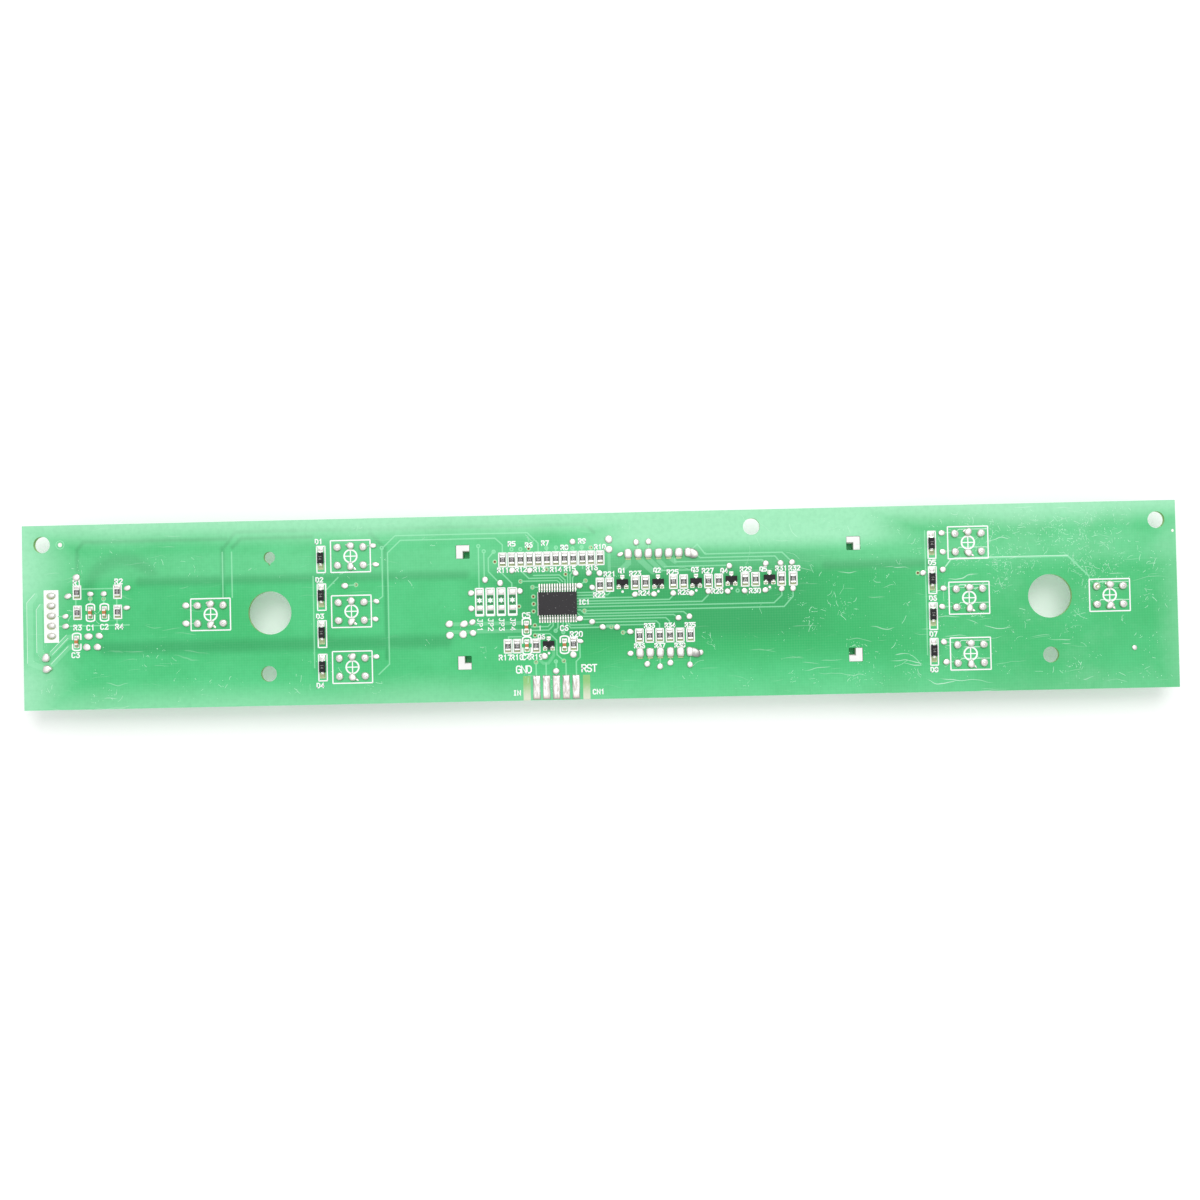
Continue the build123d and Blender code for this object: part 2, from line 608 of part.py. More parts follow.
with BuildPart() as one_switch_led:
    with BuildSketch(Plane.XZ):
        with BuildLine():
            Polyline((0, recess_floor), (0.95, recess_floor), (0.95, -3.0))
            ThreePointArc((0.95, -3.0), (0.95 * math.cos(math.pi / 4), -3.0 - 0.95 * math.sin(math.pi / 4)), (0, -3.95))
            Line((0, -3.95), (0, recess_floor))
        make_face()
    revolve(axis=Axis.Z)

with BuildPart() as one_button_cap:
    # hollow light-guiding cap: a flange held under the cover and a stem that stands through it
    with BuildSketch(Plane.XZ):
        with BuildLine():
            Polyline(
                (1.15, -2.85), (2.4, -2.85), (2.4, -3.45), (1.8, -3.45), (1.8, -button_reach + 0.4),
                (1.4, -button_reach), (0, -button_reach), (0, -button_reach + 0.8), (1.15, -button_reach + 0.8),
                close=True,
            )  # fmt: skip
        make_face()
    revolve(axis=Axis.Z)

switch_places = [(cx, cy, board_bottom) for cx, cy in switch_centres]

with BuildPart() as switch_bases:
    with Locations(*switch_places):
        add(one_switch_base.part, clean=False)
switch_bases.part.label = "switch_bases"
export_step(switch_bases.part, "parts/switch_bases.step")

with BuildPart() as switch_covers:
    with Locations(*switch_places):
        add(one_switch_cover.part, clean=False)
switch_covers.part.label = "switch_covers"
export_step(switch_covers.part, "parts/switch_covers.step")

with BuildPart() as switch_domes:
    with Locations(*switch_places):
        add(one_switch_dome.part, clean=False)
switch_domes.part.label = "switch_domes"
export_step(switch_domes.part, "parts/switch_domes.step")

with BuildPart() as switch_terminals:
    with Locations(*switch_places):
        add(one_switch_terminals.part, clean=False)
switch_terminals.part.label = "switch_terminals"
export_step(switch_terminals.part, "parts/switch_terminals.step")

with BuildPart() as switch_leds:
    with Locations(*switch_places):
        add(one_switch_led.part, clean=False)
switch_leds.part.label = "switch_leds"
export_step(switch_leds.part, "parts/switch_leds.step")

with BuildPart() as switch_led_leads:
    with Locations(*switch_places):
        add(one_switch_lamp_leads.part, clean=False)
switch_led_leads.part.label = "switch_led_leads"
export_step(switch_led_leads.part, "parts/switch_led_leads.step")

for cap_name, (cx, cy) in switches.items():
    with BuildPart() as button_cap:
        with Locations((cx, cy, board_bottom)):
            add(one_button_cap.part)
    button_cap.part.label = cap_name
    export_step(button_cap.part, f"parts/{cap_name}.step")


# ------------------------------------------------------------------ soldered joints
def joint_profile(r):
    """Half section of a soldered joint: a flared foot that climbs to a rounded tip."""
    return [(r, 0), (r, 0.06), (r * 0.84, 0.3), (r * 0.66, 0.62), (r * 0.42, joint_height - 0.08), (0, joint_height)]


with BuildPart() as display_joint:
    with BuildSketch(Plane.XZ):
        with BuildLine():
            Line((0, 0), (1.0, 0))
            Spline(*joint_profile(1.0))
            Line((0, joint_height), (0, 0))
        make_face()
    revolve(axis=Axis.Z)
    Box(display_pin, display_pin, pin_proud, align=(Align.CENTER, Align.CENTER, Align.MIN), mode=Mode.SUBTRACT)

with BuildPart() as display_solder:
    with Locations(*[(x, y, board_top) for x, y in display_pins_at]):
        add(display_joint.part, clean=False)
display_solder.part.label = "display_solder"
export_step(display_solder.part, "parts/display_solder.step")

with BuildPart() as header_joint:
    with BuildSketch(Plane.XZ):
        with BuildLine():
            Line((0, 0), (0.95, 0))
            Spline(*joint_profile(0.95))
            Line((0, joint_height), (0, 0))
        make_face()
    revolve(axis=Axis.Z)
    Box(header_pin, header_pin, pin_proud, align=(Align.CENTER, Align.CENTER, Align.MIN), mode=Mode.SUBTRACT)

with BuildPart() as connector_solder:
    with Locations(*[(x, y, board_top) for x, y in header_pins_at]):
        add(header_joint.part, clean=False)
connector_solder.part.label = "connector_solder"
export_step(connector_solder.part, "parts/connector_solder.step")

with BuildPart() as can_joint:
    with BuildSketch(Plane.XZ):
        with BuildLine():
            Line((0, 0), (1.05, 0))
            Spline(*joint_profile(1.05))
            Line((0, joint_height), (0, 0))
        make_face()
    revolve(axis=Axis.Z)
    Cylinder(can_lead_d / 2, pin_proud, align=(Align.CENTER, Align.CENTER, Align.MIN), mode=Mode.SUBTRACT)

with BuildPart() as capacitor_solder:
    with Locations(*[(x, y, board_top) for x, y in can_leads_at]):
        add(can_joint.part, clean=False)
capacitor_solder.part.label = "capacitor_solder"
export_step(capacitor_solder.part, "parts/capacitor_solder.step")

with BuildPart() as switch_joint:
    with BuildSketch(Plane.XZ):
        with BuildLine():
            Line((0, 0), (0.98, 0))
            Spline(*joint_profile(0.98))
            Line((0, joint_height), (0, 0))
        make_face()
    revolve(axis=Axis.Z)

# the four terminals of a switch, with the strips' ends taken out of their joints
with BuildPart() as one_switch_joints:
    with Locations(*[(sx * switch_pin_x, sy * switch_pin_y, board_thickness) for sx in (-1, 1) for sy in (-1, 1)]):
        add(switch_joint.part, clean=False)
    with Locations(*[(0, sy * lamp_pin_y, board_thickness) for sy in (-1, 1)]):
        add(switch_joint.part, clean=False)
    add(one_switch_terminals.part, mode=Mode.SUBTRACT)
    add(one_switch_lamp_leads.part, mode=Mode.SUBTRACT)

with BuildPart() as switch_solder:
    with Locations(*switch_places):
        add(one_switch_joints.part, clean=False)
switch_solder.part.label = "switch_solder"
export_step(switch_solder.part, "parts/switch_solder.step")

with BuildPart() as test_point_solder:
    for radius in sorted({r for _, _, r in test_points}):
        ball = (radius**2 + test_point_height**2) / (2 * test_point_height)
        lift = ball - test_point_height
        low = math.degrees(math.asin(lift / ball))
        with Locations(*[(x, y, board_top) for x, y, r in test_points if r == radius]):
            Sphere(ball, arc_size1=low, arc_size2=90, align=(Align.CENTER, Align.CENTER, Align.MIN))
test_point_solder.part.label = "test_point_solder"
export_step(test_point_solder.part, "parts/test_point_solder.step")
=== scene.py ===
import math
import random

import bpy
from mathutils import Euler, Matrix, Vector


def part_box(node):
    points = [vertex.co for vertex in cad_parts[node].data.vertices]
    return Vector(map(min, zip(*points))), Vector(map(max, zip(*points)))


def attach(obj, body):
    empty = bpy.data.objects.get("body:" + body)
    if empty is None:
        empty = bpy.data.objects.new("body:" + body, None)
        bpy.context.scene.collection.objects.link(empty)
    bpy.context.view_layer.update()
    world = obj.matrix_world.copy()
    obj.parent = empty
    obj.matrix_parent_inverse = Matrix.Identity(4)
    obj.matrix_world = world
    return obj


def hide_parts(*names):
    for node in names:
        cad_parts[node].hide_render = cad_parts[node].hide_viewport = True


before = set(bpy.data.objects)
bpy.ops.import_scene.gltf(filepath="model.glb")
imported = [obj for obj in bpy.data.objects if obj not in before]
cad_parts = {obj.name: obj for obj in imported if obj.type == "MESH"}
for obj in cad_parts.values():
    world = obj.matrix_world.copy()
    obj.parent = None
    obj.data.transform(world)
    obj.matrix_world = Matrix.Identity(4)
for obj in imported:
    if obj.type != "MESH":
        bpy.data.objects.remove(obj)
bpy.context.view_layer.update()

MM = 0.001
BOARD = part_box("circuit_board")
TOP = BOARD[1][2] / MM
BOT = BOARD[0][2] / MM
rnd = random.Random(7)


# ------------------------------------------------------------------ mesh helpers (millimetres in)
class Bag:
    """Collects faces in millimetres and turns them into one named piece."""

    def __init__(self):
        self.v, self.f, self.s, self.m = [], [], [], []
        self.slot = 0

    def add(self, verts, faces, smooth=False):
        o = len(self.v)
        self.v += [(x * MM, y * MM, z * MM) for x, y, z in verts]
        self.f += [tuple(i + o for i in f) for f in faces]
        self.s += [smooth] * len(faces)
        self.m += [self.slot] * len(faces)

    def make(self, name, mats, body="root", replaces=()):
        me = bpy.data.meshes.new(name)
        me.from_pydata(self.v, [], self.f)
        me.update()
        ob = bpy.data.objects.new(name, me)
        bpy.context.scene.collection.objects.link(ob)
        for m in mats:
            me.materials.append(m)
        me.polygons.foreach_set("use_smooth", self.s)
        me.polygons.foreach_set("material_index", self.m)
        me.validate()
        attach(ob, body)
        if replaces:
            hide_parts(*replaces)
        return ob


def prism(bag, loop, z0, z1, shrink=0.0, smooth=False):
    """A closed slab over a convex loop; the upper face is drawn in by shrink."""
    n = len(loop)
    cx = sum(p[0] for p in loop) / n
    cy = sum(p[1] for p in loop) / n
    top = []
    for x, y in loop:
        d = math.hypot(x - cx, y - cy) or 1
        top.append((x - (x - cx) / d * shrink, y - (y - cy) / d * shrink, z1))
    verts = [(x, y, z0) for x, y in loop] + top
    faces = [tuple(range(n, 2 * n)), tuple(reversed(range(n)))]
    faces += [(i, (i + 1) % n, n + (i + 1) % n, n + i) for i in range(n)]
    bag.add(verts, faces, smooth)


def ell(cx, cy, rx, ry, n=24, turn=0.0):
    c, s = math.cos(turn), math.sin(turn)
    out = []
    for k in range(n):
        a = 2 * math.pi * k / n
        x, y = rx * math.cos(a), ry * math.sin(a)
        out.append((cx + x * c - y * s, cy + x * s + y * c))
    return out


def rect(x0, y0, x1, y1, r=0.0, n=4):
    if r <= 0:
        return [(x0, y0), (x1, y0), (x1, y1), (x0, y1)]
    out = []
    for cx, cy, a0 in ((x1 - r, y0 + r, -90), (x1 - r, y1 - r, 0), (x0 + r, y1 - r, 90), (x0 + r, y0 + r, 180)):
        for k in range(n + 1):
            a = math.radians(a0 + 90 * k / n)
            out.append((cx + r * math.cos(a), cy + r * math.sin(a)))
    return out


def ring(bag, outer, inner, z0, z1):
    n = len(outer)
    verts = [(x, y, z1) for x, y in outer] + [(x, y, z1) for x, y in inner]
    verts += [(x, y, z0) for x, y in outer] + [(x, y, z0) for x, y in inner]
    faces = []
    for i in range(n):
        j = (i + 1) % n
        faces += [
            (i, j, n + j, n + i),
            (2 * n + j, 2 * n + i, 3 * n + i, 3 * n + j),
            (2 * n + i, 2 * n + j, j, i),
            (n + i, n + j, 3 * n + j, 3 * n + i),
        ]
    bag.add(verts, faces)


def stroke(bag, pts, width, z0, z1, closed=False, bevel=0.0, round_ends=True):
    """A flat ribbon with mitred corners, and round ends where it is open."""
    p = [Vector(q) for q in pts]
    if closed and (p[0] - p[-1]).length < 1e-6:
        p = p[:-1]
    p = [q for i, q in enumerate(p) if i == 0 or (q - p[i - 1]).length > 1e-5]
    n = len(p)
    if n < 2:
        return
    rows = []
    for i in range(n):
        a = p[(i - 1) % n] if (closed or i > 0) else None
        b = p[(i + 1) % n] if (closed or i < n - 1) else None
        d0 = (p[i] - a).normalized() if a is not None else None
        d1 = (b - p[i]).normalized() if b is not None else None
        if d0 is None:
            d0 = d1
        if d1 is None:
            d1 = d0
        t = d0 + d1
        if t.length < 0.2:
            t = d1.copy()
        t.normalize()
        nrm = Vector((-t.y, t.x))
        k = 1.0 / max(0.45, nrm.dot(Vector((-d1.y, d1.x))))
        rows.append((p[i], nrm * k))
    up = z1 > z0
    h = width / 2
    top = max(h - bevel, h * 0.3)
    verts = []
    for q, m in rows:
        verts += [(*(q + m * h), z0), (*(q + m * top), z1), (*(q - m * top), z1), (*(q - m * h), z0)]
    faces = []
    count = n if closed else n - 1
    for i in range(count):
        a, b = 4 * i, 4 * ((i + 1) % n)
        quads = [(a + 1, a, b, b + 1), (a + 2, a + 1, b + 1, b + 2), (a + 3, a + 2, b + 2, b + 3), (a, a + 3, b + 3, b)]
        faces += quads if up else [tuple(reversed(q)) for q in quads]
    bag.add(verts, faces)
    if not closed:
        for i, away in ((0, p[0] - p[1]), (n - 1, p[-1] - p[-2])):
            base = math.atan2(away.y, away.x)
            q = p[i]
            if not round_ends:
                o = 4 * i
                continue
            arc = [base + math.radians(a) for a in (-90, -60, -30, 0, 30, 60, 90)]
            lo = [(q.x + h * math.cos(a), q.y + h * math.sin(a), z0) for a in arc]
            hi = [(q.x + top * math.cos(a), q.y + top * math.sin(a), z1) for a in arc]
            m = len(arc)
            f = [tuple(range(m, 2 * m))] + [(k, k + 1, m + k + 1, m + k) for k in range(m - 1)]
            bag.add(lo + hi, f if up else [tuple(reversed(q2)) for q2 in f])


def dome(bag, x, y, rx, ry, h, turn=0.0, seed=0, tip=(0.0, 0.0), flat=0.55, wob=0.035, rings=7, n=24, sq=1.0):
    """A lump of solder: a foot, a rounded side and an uneven crown."""
    r = random.Random(seed)
    ph = [r.uniform(0, 6.28) for _ in range(3)]
    c, s = math.cos(turn), math.sin(turn)
    verts = []
    for k in range(rings + 1):
        t = k / rings
        rad = math.cos(t * math.pi / 2) ** 0.62 if k else 1.0
        z = h * (1 - (1 - t) ** 2) ** flat if k else 0.0
        if k == rings:
            verts.append((x + tip[0], y + tip[1], TOP + h))
            break
        for j in range(n):
            a = 2 * math.pi * j / n
            w = 1 + wob * (math.sin(2 * a + ph[0]) + 0.6 * math.sin(3 * a + ph[1]) + 0.3 * math.sin(5 * a + ph[2]))
            px = rx * rad * w * math.copysign(abs(math.cos(a)) ** sq, math.cos(a))
            py = ry * rad * w * math.copysign(abs(math.sin(a)) ** sq, math.sin(a))
            verts.append((x + px * c - py * s + tip[0] * t, y + px * s + py * c + tip[1] * t, TOP + z))
    faces = []
    for k in range(rings - 1):
        for j in range(n):
            a, b = k * n + j, k * n + (j + 1) % n
            faces.append((a, b, b + n, a + n))
    last = (rings - 1) * n
    faces += [(last + j, last + (j + 1) % n, rings * n) for j in range(n)]
    faces.append(tuple(reversed(range(n))))
    bag.add(verts, faces, True)


# ------------------------------------------------------------------ layout tables (board millimetres)
SWITCHES = [
    (-97.3, 0.0), (-61.65, 13.9), (-61.65, 0.0), (-61.65, -14.05),
    (93.3, 13.85), (93.3, 0.0), (93.3, -13.95), (128.2, -0.05),
]  # fmt: skip
ROW_X = [-23.3, -20.95, -18.75, -16.5, -14.3, -12.1, -9.9, -7.7, -5.5, -3.2, -1.05, 1.25]
LOW_X = [10.7, 13.25, 15.8, 18.35, 20.9, 23.5]
PAIRS = [(1.1, 5.3), (3.5, 5.3), (9.95, 5.65), (12.5, 5.65), (19.5, 5.65), (22.1, 5.65),
         (28.3, 5.65), (30.9, 5.65), (37.5, 5.85), (40.1, 5.85), (46.6, 5.85), (49.5, 5.85)]  # fmt: skip
RESISTORS = (
    [(-131.15, 6.25), (-131.1, 1.15), (-120.85, 6.25), (-120.85, 1.15)]
    + [(x, 12.1) for x in ROW_X]
    + [(-22.35, -9.65), (-20.05, -9.65), (-15.3, -9.65), (-5.85, -9.4)]
    + PAIRS
    + [(x, -7.7) for x in LOW_X]
)
CAPS = [(-127.8, 1.1), (-124.25, 1.1), (-131.4, -6.2), (-17.6, -9.55), (-17.6, -4.9), (-8.15, -9.55)]
TRANSISTORS = [(6.72, 5.9), (15.68, 5.8), (25.2, 5.8), (34.05, 6.15), (43.6, 6.25), (-12.1, -9.15)]
DIODES = [(-69.2, 13.6), (-69.2, 4.15), (-69.2, -5.2), (-69.2, -13.8), (84.2, 13.85), (84.2, 5.0), (84.2, -3.9), (84.2, -12.95)]
DIODE_BOXES = [(-70.35, 9.75, -67.9, 16.7), (-70.35, 0.25, -67.9, 7.2), (-70.35, -9.1, -67.9, -2.05), (-70.35, -17.5, -67.9, -10.5),
               (83.15, 9.9, 85.4, 17.0), (83.15, 1.1, 85.4, 8.15), (83.15, -7.9, 85.4, -0.85), (83.15, -16.8, 85.4, -9.8)]  # fmt: skip
TOP_PINS = [(8.3 + 2.54 * k, 12.9) for k in range(7)]
BOTTOM_PINS = [(10.75 + 2.54 * k, -12.0) for k in range(6)]
HEADER_PINS = [(-137.7, 0.5 + 2.54 * k) for k in (-2, -1, 0, 1, 2)]
CAN_PINS = [(-139.0, -10.1), (-139.0, -12.9)]
# test pads: x, y, half width, half height
POINTS = [
    (-131.2, 10.1, 1.0, 0.85), (-133.4, 5.4, 0.95, 0.75), (-134.1, 0.3, 0.85, 0.65), (-134.1, -2.2, 0.9, 0.75),
    (-127.7, 5.8, 0.85, 0.7), (-124.3, 5.8, 0.85, 0.7), (-118.3, 7.1, 0.95, 0.65), (-118.5, 2.15, 0.9, 0.65),
    (-128.3, -4.9, 1.1, 0.9), (-125.6, -4.8, 1.0, 0.8), (-128.8, -7.6, 1.05, 0.9), (-126.1, -7.6, 1.0, 0.9),
    (-103.5, 2.37, 0.95, 0.85), (-103.5, -2.17, 0.95, 0.85), (-55.9, 16.45, 0.9, 0.65), (-55.3, 11.7, 0.95, 0.6),
    (-55.3, 2.4, 0.85, 0.65), (-55.6, -2.05, 0.85, 0.65), (-55.6, -11.5, 0.85, 0.65), (-63.2, 6.5, 0.95, 0.75),
    (-37.0, -3.7, 1.05, 0.9), (-33.3, -3.8, 1.05, 0.9), (-31.2, -3.4, 0.9, 0.75),
    (-36.9, -6.55, 1.05, 0.95), (-33.6, -6.4, 1.05, 1.0), (-31.1, -6.1, 0.9, 0.85),
    (-27.8, 7.2, 0.82, 0.82), (-24.0, 6.3, 0.82, 0.82), (-31.4, 3.95, 0.82, 0.8), (-31.4, 0.05, 0.82, 0.8),
    (-19.1, 4.2, 0.8, 0.8), (-20.95, 9.4, 0.8, 0.8), (-16.5, 9.3, 0.8, 0.8), (-5.6, 16.3, 0.8, 0.8), (-5.0, 8.4, 0.8, 0.8),
    (3.5, 16.7, 1.0, 1.0), (3.5, 14.15, 0.95, 0.95), (10.4, 15.8, 0.8, 0.8), (13.5, 15.9, 0.8, 0.8), (-1.65, 8.3, 0.8, 0.8),
    (1.0, 8.25, 0.8, 0.8), (-0.9, 4.7, 0.8, 0.75), (-4.2, 5.2, 0.95, 0.75), (-4.3, -3.05, 0.95, 0.75), (-1.1, -3.9, 0.82, 0.75),
    (1.5, -5.3, 0.85, 0.75), (5.15, -5.4, 0.85, 0.75), (8.4, -6.6, 0.85, 0.75), (-13.2, -12.3, 0.9, 0.85), (-4.2, -8.7, 0.9, 0.6),
    (-6.0, -12.1, 0.9, 0.85), (-10.4, -16.1, 0.85, 0.8), (6.3, 12.85, 0.85, 0.55), (8.35, -12.05, 0.85, 0.7), (26.0, -12.2, 0.7, 0.7),
    (12.5, -14.8, 0.8, 0.8), (15.7, -15.5, 0.8, 0.8), (18.3, -14.6, 0.8, 0.8), (23.2, -15.2, 0.8, 0.8),
    (9.8, 2.7, 0.8, 0.75), (14.6, 2.7, 0.8, 0.75), (19.4, 2.8, 0.8, 0.75), (24.0, 2.7, 0.8, 0.75), (28.2, 3.1, 0.8, 0.75),
    (33.05, 3.0, 0.8, 0.75), (37.3, 3.0, 0.8, 0.75), (42.5, 3.1, 0.8, 0.75), (46.6, 3.35, 0.8, 0.75), (49.4, 3.35, 0.8, 0.75),
    (33.6, 9.35, 0.8, 0.75), (42.7, 9.75, 0.8, 0.75), (46.4, 9.8, 0.8, 0.75), (49.3, 9.95, 0.8, 0.75), (20.6, -3.4, 0.8, 0.75),
    (23.3, -3.1, 0.8, 0.75), (86.8, 16.4, 0.85, 0.75), (87.0, 11.65, 0.85, 0.75), (81.9, 6.5, 0.85, 0.7), (86.85, 7.2, 0.85, 0.75),
    (86.9, 2.55, 0.85, 0.75), (86.5, -2.05, 0.85, 0.75), (86.7, -10.85, 0.85, 0.75), (87.2, -15.85, 0.85, 0.8), (134.0, -13.3, 0.65, 0.65),
]  # fmt: skip
VIAS = [
    (-25.25, 11.65), (-12.2, 9.5), (-7.5, 8.15), (-18.9, 6.6), (-15.9, 5.05), (-15.75, 2.7), (-15.7, 0.85), (-15.75, -1.0),
    (-19.4, 0.3), (-1.05, 14.7), (-2.55, 6.4), (-2.95, -1.15), (3.7, -5.3), (6.6, -6.8), (-15.5, -4.55), (-15.5, -7.05),
    (-15.4, -13.8), (-8.4, -13.6), (-16.7, 14.8), (-60.4, 6.65), (80.65, 6.5), (-127.8, 4.6), (-124.4, 4.5),
]  # fmt: skip
GREEN_VIAS = [
    (-29.35, 15.7), (-28.0, 14.35), (-25.5, 14.2), (-21.0, 14.7), (-18.75, 14.7), (-12.2, 14.85), (-9.8, 14.9), (-5.65, 14.6),
    (-3.35, 14.85), (-10.3, -6.0), (-8.4, -6.4), (-10.4, -13.7), (35.55, 3.1), (-53.7, 15.8),
]  # fmt: skip
JUMPERS = [(-30.45, -28.15), (-27.8, -25.4), (-25.0, -22.7), (-22.25, -19.8)]

